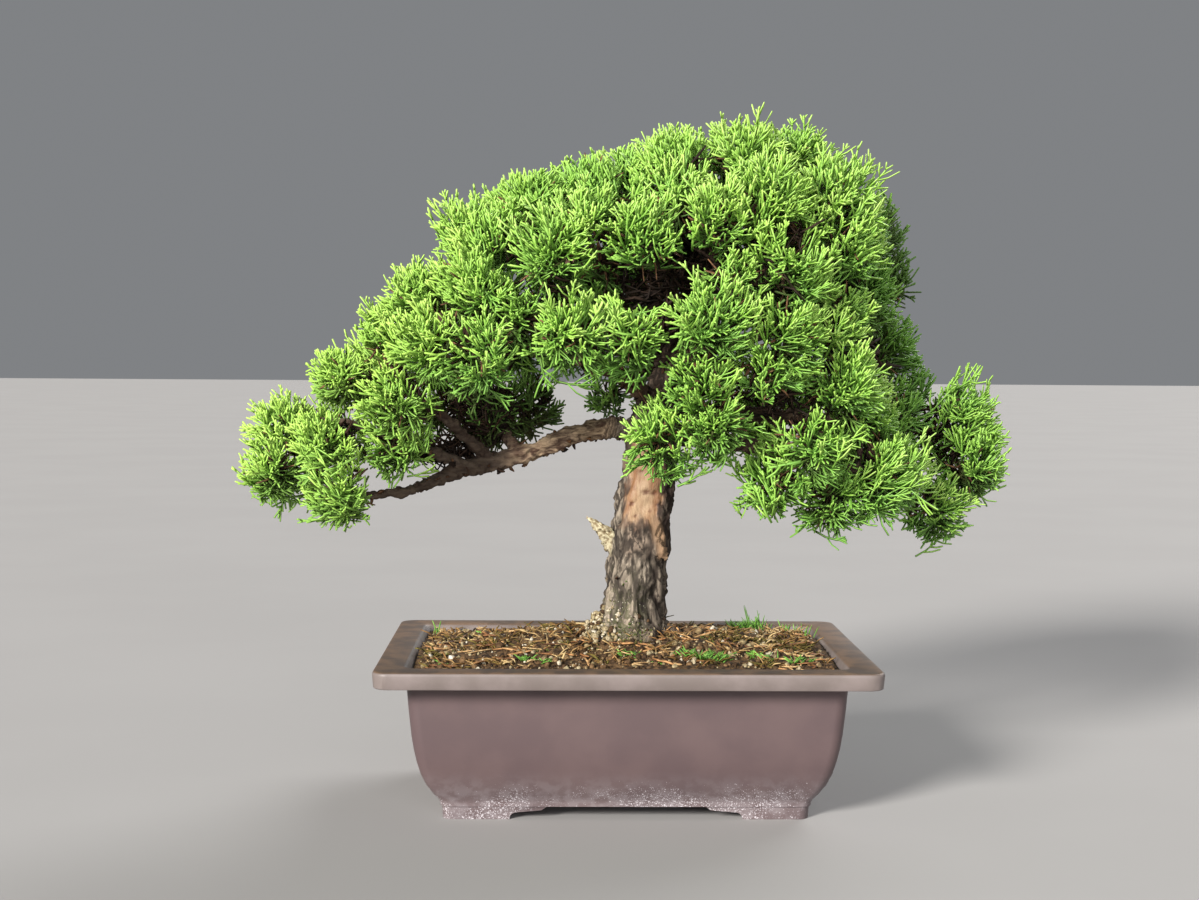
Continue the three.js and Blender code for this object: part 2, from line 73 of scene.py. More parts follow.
def unit(vectors):
    return vectors / np.maximum(np.linalg.norm(vectors, axis=-1, keepdims=True), 1e-9)


def smoothStep(low, high, values):
    share = np.clip((values - low) / (high - low), 0, 1)
    return share * share * (3 - 2 * share)


def readArray(rows, key, width=3, kind=float):
    values = np.empty(len(rows) * width, kind)
    rows.foreach_get(key, values)
    return values.reshape(-1, width) if width > 1 else values


def readPoints(mesh):
    return fromFrame(readArray(mesh.vertices, "co"))


def writePoints(mesh, points):
    mesh.vertices.foreach_set("co", toFrame(points).astype(np.float32).ravel())


# A number per point for each layer, by the name that the materials read.
def writeLayers(mesh, layers):
    for name, values in layers.items():
        data = mesh.attributes.new(name, "FLOAT", "POINT").data
        data.foreach_set("value", np.asarray(values, np.float32))


# A mesh piece from points in millimetres, with its layers.
def makePiece(name, points, triangles, material, slotName, replaced=(), **layers):
    mesh = bpy.data.meshes.new(name)
    triangles = np.asarray(triangles, np.int32)
    mesh.vertices.add(len(points))
    writePoints(mesh, points)
    mesh.loops.add(triangles.size)
    mesh.loops.foreach_set("vertex_index", triangles.ravel())
    mesh.polygons.add(len(triangles))
    mesh.polygons.foreach_set("loop_start", np.arange(0, triangles.size, 3, dtype=np.int32))
    mesh.update(calc_edges=True)
    mesh.shade_smooth()
    writeLayers(mesh, layers)
    piece = bpy.data.objects.new(name, mesh)
    bpy.context.scene.collection.objects.link(piece)
    return settle(piece, material, replaced)


# An object from a mesh that is still being edited.
def newObject(name, mesh):
    data = bpy.data.meshes.new(name)
    mesh.to_mesh(data)
    mesh.free()
    made = bpy.data.objects.new(name, data)
    bpy.context.scene.collection.objects.link(made)
    return made


def setMaterial(piece, material):
    piece.data.materials.clear()
    piece.data.materials.append(material)


# Gives a piece its finish and seats it on the part.
def settle(piece, material, replaced=()):
    setMaterial(piece, material)
    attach(piece, "root")
    if replaced:
        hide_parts(*replaced)
    return piece


# Many thin tubes at once. lines: rods x rings x 3, radii: rods x rings. Each ends in a blunt point.
def tubes(lines, radii, sides=3):
    count, rings, _ = lines.shape
    along = unit(np.gradient(lines, axis=1))
    steep = np.abs(along[:, :1, 2:]) > 0.8
    helper = np.where(steep, np.array([1.0, 0.2, 0.0]), np.array([0.0, 0.2, 1.0]))
    across = unit(np.cross(along, helper))
    other = np.cross(along, across)
    turn = np.arange(sides) * 2 * np.pi / sides
    spoke = np.cos(turn)[:, None] * across[:, :, None] + np.sin(turn)[:, None] * other[:, :, None]
    ring = lines[:, :, None] + radii[:, :, None, None] * spoke
    apex = lines[:, -1:] + along[:, -1:] * radii[:, -1:, None]
    points = np.concatenate([ring.reshape(count, rings * sides, 3), apex], axis=1)
    faces = [(0, s + 1, s) for s in range(1, sides - 1)]
    for s in range(sides):
        n = (s + 1) % sides
        for r in range(0, (rings - 1) * sides, sides):
            faces += [(r + s, r + n, r + sides + n), (r + s, r + sides + n, r + sides + s)]
        faces.append(((rings - 1) * sides + s, (rings - 1) * sides + n, rings * sides))
    starts = np.arange(count)[:, None, None] * (rings * sides + 1)
    return points.reshape(-1, 3), (np.array(faces)[None] + starts).reshape(-1, 3)


# A number per ring as a number per mesh point of tubes().
def perPoint(values, sides=3):
    return np.concatenate([np.repeat(values, sides, axis=1), values[:, -1:]], axis=1).ravel()


# A number per rod as a number per mesh point of tubes().
def perRod(values, rings, sides=3):
    return np.repeat(values, rings * sides + 1)


# A piece of rods, each with its own tone, or with one for each ring.
def makeRods(name, lines, radii, material, slotName, tone=None, sides=3):
    layers = {}
    if tone is not None:
        layers["tone"] = perPoint(tone, sides) if tone.ndim > 1 else perRod(tone, lines.shape[1], sides)
    return makePiece(name, *tubes(lines, radii, sides), material, slotName, **layers)


# Several (points, triangles, layers...) sets as one.
def merged(parts):
    starts = np.cumsum([0] + [len(part[0]) for part in parts[:-1]])
    points = np.concatenate([part[0] for part in parts])
    triangles = np.concatenate([part[1] + start for part, start in zip(parts, starts)])
    return [points, triangles] + [np.concatenate(values) for values in zip(*(part[2:] for part in parts))]


# A CAD node's points in millimetres, with its split corners joined, and its triangles.
def readNode(name):
    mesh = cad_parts[name].data
    mesh.calc_loop_triangles()
    triangles = readArray(mesh.loop_triangles, "vertices", kind=np.int32)
    joined, inverse = np.unique(np.round(readPoints(mesh), 2), axis=0, return_inverse=True)
    return joined, inverse.ravel()[triangles]


# A screen colour, red, green and blue from 0 to 255, as linear light; an output stays as it is.
def colour(tint):
    if isinstance(tint, bpy.types.NodeSocket):
        return tint
    share = [c / 255 for c in tint]
    return tuple(c / 12.92 if c < 0.04 else ((c + 0.055) / 1.055) ** 2.4 for c in share) + (1.0,)


# Adds a node, fills or links its inputs, and gives back one output.
def node(tree, kind, inputs=None, out=0, **settings):
    made = tree.nodes.new("ShaderNode" + kind)
    for key, value in settings.items():
        setattr(made, key, value)
    for key, value in (inputs or {}).items():
        if isinstance(value, bpy.types.NodeSocket):
            tree.links.new(value, made.inputs[key])
        else:
            made.inputs[key].default_value = value
    return made.outputs[out]


def mix(tree, factor, a, b, blend="MIX"):
    inputs = {0: factor, 6: colour(a), 7: colour(b)}
    return node(tree, "Mix", inputs, out=2, data_type="RGBA", blend_type=blend)


def calc(tree, operation, a, b=0.0):
    return node(tree, "Math", {0: a, 1: b}, operation=operation)


def times(tree, a, b):
    return calc(tree, "MULTIPLY", a, b)


def alongAxis(tree, vector, axis):
    return node(tree, "SeparateXYZ", {0: vector}, out=axis)


def spread(tree, value, low, high, start=0.0, end=1.0):
    inputs = {0: value, 1: low, 2: high, 3: start, 4: end}
    return node(tree, "MapRange", inputs, interpolation_type="SMOOTHSTEP")


def ramp(tree, factor, stops):
    made = tree.nodes.new("ShaderNodeValToRGB")
    tree.links.new(factor, made.inputs[0])
    elements = made.color_ramp.elements
    for k, (position, tint) in enumerate(stops):
        element = elements[k] if k < 2 else elements.new(position)
        element.position = position
        element.color = colour(tint)
    return made.outputs[0]


def newGroup(name, inputs, outputs):
    group = bpy.data.node_groups.new(name, "ShaderNodeTree")
    for label, kind, start in inputs:
        socket = group.interface.new_socket(name=label, in_out="INPUT", socket_type="NodeSocket" + kind)
        if start is not None:
            socket.default_value = start
    for label, kind in outputs:
        group.interface.new_socket(name=label, in_out="OUTPUT", socket_type="NodeSocket" + kind)
    return group, group.nodes.new("NodeGroupInput").outputs, group.nodes.new("NodeGroupOutput").inputs


# Noise over a group's Place, as large as its Size, or some times finer.
def sizedNoise(group, given, detail, finer=1.0, out=0):
    scale = calc(group, "DIVIDE", finer, given["Size"])
    return node(group, "TexNoise", {"Vector": given["Place"], "Scale": scale, "Detail": detail}, out=out)


# Place in millimetres from the pot's centre line on the floor.
def placeInMillimetres():
    group, _, result = newGroup("place in millimetres", [], [("Place", "Vector"), ("Height", "Float")])
    metres = node(group, "TexCoord", out="Object")
    moved = node(group, "VectorMath", {0: metres, 1: tuple(origin)}, operation="SUBTRACT")
    place = node(group, "VectorMath", {0: moved, 3: 1 / mm}, operation="SCALE")
    group.links.new(place, result["Place"])
    group.links.new(alongAxis(group, place, "Z"), result["Height"])
    return group


# Two colours in soft uneven patches, with a finer unevenness on top.
def blotchesGroup():
    group, given, result = newGroup("blotches", [
        ("Place", "Vector", None), ("Size", "Float", 10.0), ("Light", "Color", None),
        ("Dark", "Color", None)], [("Colour", "Color"), ("Mask", "Float")])
    mask = spread(group, sizedNoise(group, given, 6.0), 0.36, 0.64)
    group.links.new(mix(group, mask, given["Light"], given["Dark"]), result["Colour"])
    group.links.new(mask, result["Mask"])
    return group


# Small scattered spots. Cover is how much of the surface they take, 0 to 1, and may change over it.
def specksGroup():
    group, given, result = newGroup(
        "specks", [("Place", "Vector", None), ("Size", "Float", 1.0), ("Cover", "Float", 0.3)],
        [("Mask", "Float")])
    scale = calc(group, "DIVIDE", 1.0, given["Size"])
    cells = node(group, "TexVoronoi", {"Vector": given["Place"], "Scale": scale})
    uneven = calc(group, "ADD", cells, times(group, sizedNoise(group, given, 3.0), 0.7))
    over = calc(group, "SUBTRACT", times(group, given["Cover"], 1.1), uneven)
    group.links.new(spread(group, over, -0.06, 0.06), result["Mask"])
    return group


# Height of a rough skin: a coarse and a fine unevenness.
def roughSkinGroup():
    group, given, result = newGroup(
        "rough skin", [("Place", "Vector", None), ("Size", "Float", 2.0)], [("Height", "Float")])
    fine = times(group, sizedNoise(group, given, 2.0, 6.0), 0.3)
    group.links.new(calc(group, "ADD", sizedNoise(group, given, 5.0), fine), result["Height"])
    return group


# Dark lines between uneven plates.
def cracksGroup():
    group, given, result = newGroup(
        "cracks", [("Place", "Vector", None), ("Size", "Float", 6.0), ("Width", "Float", 0.08)],
        [("Mask", "Float")])
    wander = sizedNoise(group, given, 4.0, out="Color")
    strayed = node(group, "VectorMath", {0: wander, 3: 11.0}, operation="SCALE")
    bent = node(group, "VectorMath", {0: given["Place"], 1: strayed}, operation="ADD")
    plates = {"Vector": bent, "Scale": calc(group, "DIVIDE", 1.0, given["Size"])}
    toEdge = node(group, "TexVoronoi", plates, feature="DISTANCE_TO_EDGE")
    deepest = times(group, given["Width"], 0.35)
    group.links.new(spread(group, toEdge, given["Width"], deepest), result["Mask"])
    return group


groups = {"place": placeInMillimetres(), "blotches": blotchesGroup(), "specks": specksGroup(),
          "rough skin": roughSkinGroup(), "cracks": cracksGroup()}


def fromGroup(tree, name, inputs=None, out=0):
    return node(tree, "Group", inputs, out=out, node_tree=groups[name])


def blotches(tree, place, size, light, dark):
    inputs = {"Place": place, "Size": size, "Light": colour(light), "Dark": colour(dark)}
    return fromGroup(tree, "blotches", inputs, "Colour")


def patches(tree, place, size):
    return fromGroup(tree, "blotches", {"Place": place, "Size": size}, "Mask")


def specks(tree, place, size, cover):
    return fromGroup(tree, "specks", {"Place": place, "Size": size, "Cover": cover})


def layer(tree, name):
    return node(tree, "Attribute", out="Fac", attribute_name=name)


# A tint laid over a colour where a mask says so, or a layer of the mesh by its name.
def overlay(tree, base, mask, share, tint):
    if isinstance(mask, str):
        mask = layer(tree, mask)
    return mix(tree, times(tree, mask, share), base, tint)


# A material with its tree and the place it is read from.
def newMaterial(name, roughness=0.5, specular=0.5):
    material = bpy.data.materials.new(name)
    material.use_nodes = True
    tree = material.node_tree
    shader = tree.nodes["Principled BSDF"]
    shader.inputs["Roughness"].default_value = roughness
    shader.inputs["Specular IOR Level"].default_value = specular
    return material, tree, fromGroup(tree, "place", out="Place")


# Puts a colour into a material, with a roughness if that varies, and a skin: grain size, strength, depth.
def finish(material, tint, place=None, skin=None, roughness=None):
    tree = material.node_tree
    shader = tree.nodes["Principled BSDF"]
    tree.links.new(tint, shader.inputs["Base Color"])
    if roughness is not None:
        tree.links.new(roughness, shader.inputs["Roughness"])
    if skin:
        size, strength, depth = skin
        height = fromGroup(tree, "rough skin", {"Place": place, "Size": size})
        inputs = {"Strength": strength, "Distance": depth * mm, "Height": height}
        tree.links.new(node(tree, "Bump", inputs, out="Normal"), shader.inputs["Normal"])
    return material


# A finish whose colour follows the tone of each grain or strand, uneven where it is worn.
def tonedMaterial(name, look):
    material, tree, place = newMaterial(name, look["roughness"], look["specular"])
    tint = ramp(tree, layer(tree, "tone"), look["tones"])
    *patched, share = look["worn"]
    worn = blotches(tree, place, *patched)
    return finish(material, mix(tree, share, tint, worn, "MULTIPLY"), place, look["skin"])


pot = {
    "length": 280, "depth": 205, "height": 88.7,
    "corner": 9, "cornerSteps": 10, "softEdge": 0.35, "sharpFrom": 38,
    "rimHeight": 9.4, "rimWidth": 17, "wall": 3.2, "floor": 11,
    "footHeight": 7.3, "footLength": 37.5, "footDepth": 30, "footCurl": 4, "footStep": 18,
    "drainX": 56, "drainRadius": 11,
    # height and inset from the rim's edge of the outside, from the underside to below the rim
    "profile": [(0, 36.8), (6.9, 36.2), (7.5, 35.4), (9.2, 35.2), (11.4, 34.2), (14.5, 31.6), (20.4, 27.8),
                (27, 24.9), (34.8, 22.7), (42, 21.2), (50, 20), (64, 18.6), (79.3, 17.4)],
    "insideHeights": [64, 50, 42, 34.8, 27, 20.4, 14.5],
    # two colours for each part
    "body": [(89, 73, 73), (82, 67, 68)],
    "rimTop": [(106, 84, 66), (78, 64, 54)], "rimFront": [(119, 108, 105), (105, 95, 91)],
    "lime": (188, 182, 186), "limeHeights": (50.0, 9.0), "limeCover": (0.38, 0.54),
    "hazeHeights": (32.0, 9.0), "haze": (0.06, 0.18),
}


def potRing(z, inset):
    halfX, halfY = pot["length"] / 2 - inset, pot["depth"] / 2 - inset
    corner = max(2.5, pot["corner"] - inset * 0.08)
    ring = []
    for quarter, (sx, sy) in enumerate([(1, -1), (1, 1), (-1, 1), (-1, -1)]):
        for k in range(pot["cornerSteps"] + 1):
            angle = (quarter - 1 + k / pot["cornerSteps"]) * math.pi / 2
            ring.append((sx * (halfX - corner) + corner * math.cos(angle),
                         sy * (halfY - corner) + corner * math.sin(angle), z))
    return ring


def innerInset(z):
    heights, insets = zip(*pot["profile"])
    return float(np.interp(z, heights, insets)) + pot["wall"]


# The cutter for the opening between two feet, along the pot's length, or its depth when turned.
def archCutter(half, foot, turned):
    edge, curl, step, top = half - foot, pot["footCurl"], pot["footStep"], pot["footHeight"]
    turns = np.linspace(0, math.pi / 2, 8)
    quarter = [(edge - curl + curl * math.cos(a), curl * math.sin(a)) for a in turns]
    right = [(edge, -1)] + quarter + [(edge - step, curl + 1.2), (edge - step - 3, top)]
    outline = right + [(-x, z) for x, z in reversed(right)]
    mesh = bmesh.new()
    reach = pot["length"] / 2
    place = (lambda x, z, w: (w, x, z)) if turned else (lambda x, z, w: (x, w, z))
    front = mesh.faces.new([mesh.verts.new(toFrame(place(x, z, -reach))) for x, z in outline])
    made = bmesh.ops.extrude_face_region(mesh, geom=[front])
    far = toFrame(place(0, 0, reach)) - toFrame(place(0, 0, -reach))
    moving = [v for v in made["geom"] if isinstance(v, bmesh.types.BMVert)]
    bmesh.ops.translate(mesh, vec=Vector(far), verts=moving)
    bmesh.ops.recalc_face_normals(mesh, faces=mesh.faces)
    return newObject("arch cutter", mesh)


def drainCutter(side):
    mesh = bmesh.new()
    bmesh.ops.create_cone(mesh, cap_ends=True, segments=40, radius1=pot["drainRadius"] * mm,
                          radius2=pot["drainRadius"] * mm, depth=4 * pot["floor"] * mm)
    bmesh.ops.translate(mesh, vec=Vector(toFrame((side * pot["drainX"], 0, 0))), verts=mesh.verts)
    return newObject("drain cutter", mesh)


# An object with its modifiers applied.
def applied(piece):
    graph = bpy.context.evaluated_depsgraph_get()
    made = bpy.data.meshes.new_from_object(piece.evaluated_get(graph))
    piece.modifiers.clear()
    piece.data = made
    return piece


def makePot(material):
    top, rim = pot["height"], pot["height"] - pot["rimHeight"]
    band = [(rim, 1.0), (rim + 0.5, 0.6), (top - 2.2, 0.05), (top - 1.2, 0.1), (top - 0.5, 0.45),
            (top - 0.1, 1.0), (top, 1.9), (top, pot["rimWidth"] - 1.2),
            (top - 0.3, pot["rimWidth"] - 0.4), (top - 1.4, pot["rimWidth"] + 0.5)]
    inside = [(z, innerInset(z)) for z in [rim] + pot["insideHeights"] + [pot["floor"]]]
    mesh = bmesh.new()
    rings = [potRing(z, inset) for z, inset in pot["profile"] + band + inside]
    rows = [[mesh.verts.new(toFrame(p)) for p in ring] for ring in rings]
    for lower, upper in zip(rows, rows[1:]):
        for k in range(len(lower)):
            n = (k + 1) % len(lower)
            mesh.faces.new((lower[k], lower[n], upper[n], upper[k]))
    mesh.faces.new(rows[0][::-1])
    mesh.faces.new(rows[-1])
    piece = newObject("pot_moulded", mesh)
    halfX, halfY = (pot[side] / 2 - pot["profile"][0][1] for side in ("length", "depth"))
    cutters = [archCutter(halfX, pot["footLength"], False), archCutter(halfY, pot["footDepth"], True),
               drainCutter(-1), drainCutter(1)]
    for cutter in cutters:
        cut = piece.modifiers.new("cut", "BOOLEAN")
        cut.operation, cut.object, cut.solver = "DIFFERENCE", cutter, "EXACT"
    soften = piece.modifiers.new("soft edges", "BEVEL")
    soften.width, soften.segments = pot["softEdge"] * mm, 2
    soften.limit_method, soften.angle_limit = "ANGLE", math.radians(50)
    applied(piece)
    for cutter in cutters:
        bpy.data.objects.remove(cutter)
    piece.data.shade_smooth()
    piece.data.set_sharp_from_angle(angle=math.radians(pot["sharpFrom"]))
    return settle(piece, material, ["pot"])


def potMaterial():
    material, tree, place = newMaterial("matt pot plastic", specular=0.4)
    height = fromGroup(tree, "place", out="Height")
    body = blotches(tree, place, 38.0, *pot["body"])
    band = blotches(tree, place, 22.0, *pot["rimFront"])
    painted = mix(tree, spread(tree, height, 79.0, 79.6), body, band)
    # dust where the rim faces up
    upward = alongAxis(tree, node(tree, "NewGeometry", out="Normal"), "Z")
    onRim = times(tree, spread(tree, upward, 0.5, 0.9), spread(tree, height, 80.0, 86.0))
    painted = mix(tree, onRim, painted, blotches(tree, place, 12.0, *pot["rimTop"]))
    # lime left by watering: thick low down, thinning out towards the middle of the wall
    low = calc(tree, "POWER", spread(tree, height, *pot["limeHeights"]), 1.4)
    cover = times(tree, low, spread(tree, patches(tree, place, 26.0), 0.1, 0.9, *pot["limeCover"]))
    haze = spread(tree, patches(tree, place, 7.0), 0.0, 1.0, *pot["haze"])
    limed = times(tree, spread(tree, height, *pot["hazeHeights"]), haze)
    spotted = [(1.7, cover, 0.85), (1.0, cover, 0.85), (0.75, cover, 0.85), (5.0, 0.18, 0.5)]
    for size, amount, share in spotted:
        spots = times(tree, specks(tree, place, size, amount), share)
        limed = calc(tree, "MAXIMUM", limed, spots)
    roughness = spread(tree, limed, 0.0, 0.6, 0.5, 0.85)
    return finish(material, mix(tree, limed, painted, pot["lime"]), place, (1.4, 0.25, 0.12), roughness)


def netMaterial():
    material, tree, place = newMaterial("drain net", 0.6)
    netted = blotches(tree, place, 5.0, (44, 46, 45), (30, 31, 30))
    return finish(material, netted, place, (0.8, 0.3, 0.1))


makePot(potMaterial())
netting = netMaterial()
for name in ("drain_net_left", "drain_net_right"):
    setMaterial(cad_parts[name], netting)
print("pot made")

wood = {
    "trunkFrom": 72,        # height, inside the soil, at which the fine lower piece starts
    "split": 231,           # and at which it gives way to the coarser upper one
    "overlap": 4, "top": 500,
    "fineStep": 1.32, "coarseStep": 1.75, "rounding": 9,
    # the trunk's centre line leans to the right as it rises: heights, and x at each
    "lean": ([90, 130, 150, 187, 217, 232], [6, 7, 8, 14, 16, 20]),
    "limbFrom": (17, 30),   # distance from the trunk's middle at which a limb takes over
    "plate": (7.5, 19),     # width and length of the bark's plates
    "depth": 1.7, "swelling": 2.0,
    "peeled": (162, 214), "peeledSide": (-11, 8.5), "peeledDepth": 1.1,
    "healed": (140, 176), "mossy": (138, 96), "twiggy": (215, 245),
    "jinRoot": (-7, -6, 148), "jinTip": (-23, -8, 167), "jinWidth": (3.5, 6.5),
    "knobRoot": (15, -10, 168), "knobTip": (25, -14, 141), "knobWidth": (2.5, 6),
    # knots of the peeled patch: place and radius
    "knots": [(17.2, -14, 180.3, 1.9), (12.4, -15, 181.2, 2.3), (3.6, -15, 174.3, 1.8),
              (20, -13, 173.5, 1.5), (9.6, -14, 193, 1.4), (15, -13, 170, 1.2), (6, -14, 167, 1.2),
              (13, -14, 203, 1.8)],
    "splinters": 20, "splinterRoot": (-5, -7, 154), "splinterRadius": (0.9, 2.3),
    "flakes": 340, "flakeLength": (2.0, 6.0), "flakeRadius": (0.6, 1.4), "flakesBelow": 262,
}


# Part of the CAD wood as an even, smoothed mesh, from one height to another.
def cutWood(name, low, high, step):
    mesh = bmesh.new()
    mesh.from_mesh(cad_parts["tree_wood"].data)
    bmesh.ops.remove_doubles(mesh, verts=mesh.verts, dist=0.01 * mm)
    for height, up in ((low, -1), (high, 1)):
        everything = mesh.verts[:] + mesh.edges[:] + mesh.faces[:]
        plane = Vector(toFrame((0, 0, height)))
        bmesh.ops.bisect_plane(mesh, geom=everything, plane_co=plane, plane_no=(0, 0, up), clear_outer=True)
        bmesh.ops.holes_fill(mesh, edges=[e for e in mesh.edges if e.is_boundary])
    bmesh.ops.recalc_face_normals(mesh, faces=mesh.faces)
    piece = newObject(name, mesh)
    even = piece.modifiers.new("even", "REMESH")
    even.mode, even.voxel_size = "VOXEL", step * mm
    rounded = piece.modifiers.new("rounded", "SMOOTH")
    rounded.factor, rounded.iterations = 0.5, int(wood["rounding"] / step)
    return applied(piece)


def trunkMiddle(z):
    return np.interp(z, *wood["lean"])


# How near points are to the line of the jin or the knob: 1 on it, 0 beyond its width.
def nearLine(points, name):
    root, tip = np.array(wood[name + "Root"], float), np.array(wood[name + "Tip"], float)
    along = np.clip(((points - root) @ (tip - root)) / ((tip - root) @ (tip - root)), 0, 1)
    beside = np.linalg.norm(points - root - along[:, None] * (tip - root), axis=1)
    return 1 - smoothStep(*wood[name + "Width"], beside)


# Noise at each point: cracks between plates and finer flakes, both along the grain, broad lumps, and crumb.
def barkNoise(points, grain):
    found = []
    for point, place in zip(points, grain):
        here, there = Vector(place), Vector(point)
        near = noise.voronoi(here + 0.8 * noise.noise_vector(here * 1.1))[0]
        found.append((near[1] - near[0], noise.fractal(here * 2.1, 0.9, 2.0, 4),
                      noise.noise(there * 0.09), noise.fractal(there * 0.42, 0.7, 2.0, 3)))
    return np.array(found).T


def knotted(points):
    total = 0
    for x, y, z, radius in wood["knots"]:
        apart = np.linalg.norm((points - [x, y, z]) / [1.2, 3.5, 0.8], axis=1)
        total = total + (1 - smoothStep(0.5 * radius, 1.2 * radius, apart))
    return np.clip(total, 0, 1)


# Bark: long plates with cracks between them along the limb, finer flakes on top, smooth where it is peeled.
def barkWood(piece, material):
    mesh = piece.data
    points, normals = readPoints(mesh), readArray(mesh.vertex_normals, "vector")
    x, y, z = points.T
    aside = x - trunkMiddle(z)
    level = smoothStep(*wood["limbFrom"], np.hypot(aside, y))      # 1 on the limbs, 0 on the trunk
    across, length = wood["plate"]
    trunkGrain = points / [across, across, length]
    limbGrain = points / [length * 0.6, across * 0.8, across * 0.8]
    grain = trunkGrain * (1 - level[:, None]) + limbGrain * level[:, None]
    crack, flake, lump, crumb = barkNoise(points, grain)
    jin = nearLine(points, "jin") * smoothStep(-5, -9, x)
    knob = nearLine(points, "knob")
    edge = 5 * flake                                               # frays the edge of each patch
    low, high = wood["peeled"]
    left, right = wood["peeledSide"]
    peeled = smoothStep(low - 3, low + 4, z + edge) * (1 - smoothStep(high - 4, high + 8, z + edge))
    front = smoothStep(3, -3, y + 0.4 * edge) * smoothStep(left - 3, left, aside + 0.5 * edge)
    peeled *= front * (1 - smoothStep(right, right + 2.5, aside + 0.5 * edge)) * (1 - level)
    low, high = wood["healed"]
    healed = smoothStep(low, low + 10, z + edge) * smoothStep(3, -6, y) * smoothStep(11, 7, np.abs(aside))
    healed *= (1 - peeled) * (1 - level) * smoothStep(high, high - 6, z)
    knots = knotted(points)
    raised = 0.9 * smoothStep(0.02, 0.3, crack) + 0.9 * flake - 0.45
    smooth = np.maximum(np.maximum(peeled, jin), 0.7 * healed)
    shift = wood["depth"] * (1 - 0.3 * level) * (1 - 0.8 * smooth) * raised
    shift += wood["swelling"] * lump * (1 - 0.3 * level) * (1 - jin)
    shift = shift - wood["peeledDepth"] * peeled - knots + 1.5 * jin * crumb
    points += normals * shift[:, None]
    writePoints(mesh, points)
    aside = x - trunkMiddle(z)                                     # x, y and z have moved with the points
    writeLayers(mesh, {
        "crack": smoothStep(0.22, 0.02, crack) * (1 - 0.8 * np.maximum(peeled, jin)) * (1 - 0.7 * level),
        "peeled": peeled, "healed": healed, "jin": jin, "knob": knob * (1 - jin), "limb": level,
        "mossy": smoothStep(*wood["mossy"], z + 16 * flake) * smoothStep(14, -8, aside),
        "shaded": smoothStep(6, 11, aside + 3 * flake) * (0.55 + 0.45 * smoothStep(146, 160, z)),
        "knots": knots, "twiggy": smoothStep(*wood["twiggy"], z),
    })
    mesh.update()
    mesh.shade_smooth()
    print(piece.name, len(mesh.polygons) * 2, "triangles")
    return settle(piece, material, ["tree_wood"])


def barkMaterial():
    material, tree, place = newMaterial("bark", specular=0.3)
    upwards = node(tree, "VectorMath", {0: place, 1: (1.0, 1.0, 0.3)}, operation="MULTIPLY")
    sideways = node(tree, "VectorMath", {0: place, 1: (0.3, 1.0, 1.0)}, operation="MULTIPLY")
    grain = node(tree, "Mix", {0: layer(tree, "limb"), 4: upwards, 5: sideways}, out=1, data_type="VECTOR")
    # plates, finer flakes and thin pale scales on the trunk
    skin = blotches(tree, grain, 8.0, (147, 134, 118), (48, 41, 35))
    skin = mix(tree, 0.42, skin, blotches(tree, grain, 2.0, (157, 144, 128), (36, 30, 26)))
    skin = overlay(tree, skin, specks(tree, grain, 1.6, 0.34), 0.6, (188, 180, 164))
    healed = blotches(tree, place, 6.0, (140, 122, 106), (68, 56, 48))
    skin = overlay(tree, skin, "healed", 0.8, healed)
    # the limbs: redder out to the left, that colour also darkened there as painted shade, then painted
    # shadow of the left foliage further out
    limbSkin = blotches(tree, grain, 2.6, (182, 156, 126), (74, 50, 38))
    limbSkin = overlay(tree, limbSkin, specks(tree, grain, 1.6, 0.4), 0.6, (66, 50, 40))
    x = alongAxis(tree, place, "X")
    limbSkin = overlay(tree, limbSkin, spread(tree, x, -40.0, -85.0), 0.6, (92, 60, 46))
    # painted shadow of the left foliage on the limb
    limbSkin = overlay(tree, limbSkin, spread(tree, x, -56.0, -76.0), 0.8, (40, 29, 22))
    skin = overlay(tree, skin, "limb", 0.85, limbSkin)
    # the peeled patch: smooth, with dark knots and a torn dark edge
    bare = blotches(tree, upwards, 7.0, (174, 146, 116), (128, 92, 64))
    bare = overlay(tree, bare, specks(tree, upwards, 2.0, 0.26), 0.5, (106, 70, 48))
    bare = overlay(tree, bare, "knots", 0.85, (84, 46, 30))
    peeled = layer(tree, "peeled")
    skin = mix(tree, peeled, skin, bare)
    torn = times(tree, peeled, calc(tree, "SUBTRACT", 1.0, peeled))
    skin = overlay(tree, skin, torn, 2.6, (62, 40, 30))
    skin = overlay(tree, skin, "twiggy", 0.6, (78, 54, 40))
    # cracks, and the darker side turned from the light
    onBark = calc(tree, "SUBTRACT", 1.0, calc(tree, "MAXIMUM", peeled, layer(tree, "jin")))
    onBark = times(tree, onBark, spread(tree, layer(tree, "limb"), 0.0, 1.0, 1.0, 0.25))
    wide = spread(tree, patches(tree, place, 14.0), 0.0, 1.0, 0.04, 0.21)
    split = fromGroup(tree, "cracks", {"Place": grain, "Size": 7.5, "Width": wide})
    split = times(tree, times(tree, split, onBark), 0.9)
    skin = overlay(tree, skin, calc(tree, "MAXIMUM", split, layer(tree, "crack")), 0.88, (28, 22, 18))
    skin = overlay(tree, skin, "shaded", 0.76, (40, 27, 22))
    skin = overlay(tree, skin, "knob", 0.7, (164, 132, 102))
    # algae and lichen low on the trunk
    for size, cover, share, tint in ((2.4, 0.86, 0.72, (66, 68, 40)), (1.9, 0.42, 0.75, (206, 200, 182))):
        grown = times(tree, layer(tree, "mossy"), specks(tree, place, size, cover))
        skin = overlay(tree, skin, grown, share, tint)
    skin = mix(tree, layer(tree, "jin"), skin, deadWoodColour(tree, place))
    return finish(material, skin, grain, (1.4, 0.8, 0.6), spread(tree, peeled, 0.0, 1.0, 0.9, 0.5))


def deadWoodColour(tree, place):
    weathered = blotches(tree, place, 2.0, (188, 178, 148), (118, 102, 76))
    return overlay(tree, weathered, specks(tree, place, 1.1, 0.4), 0.6, (70, 58, 42))


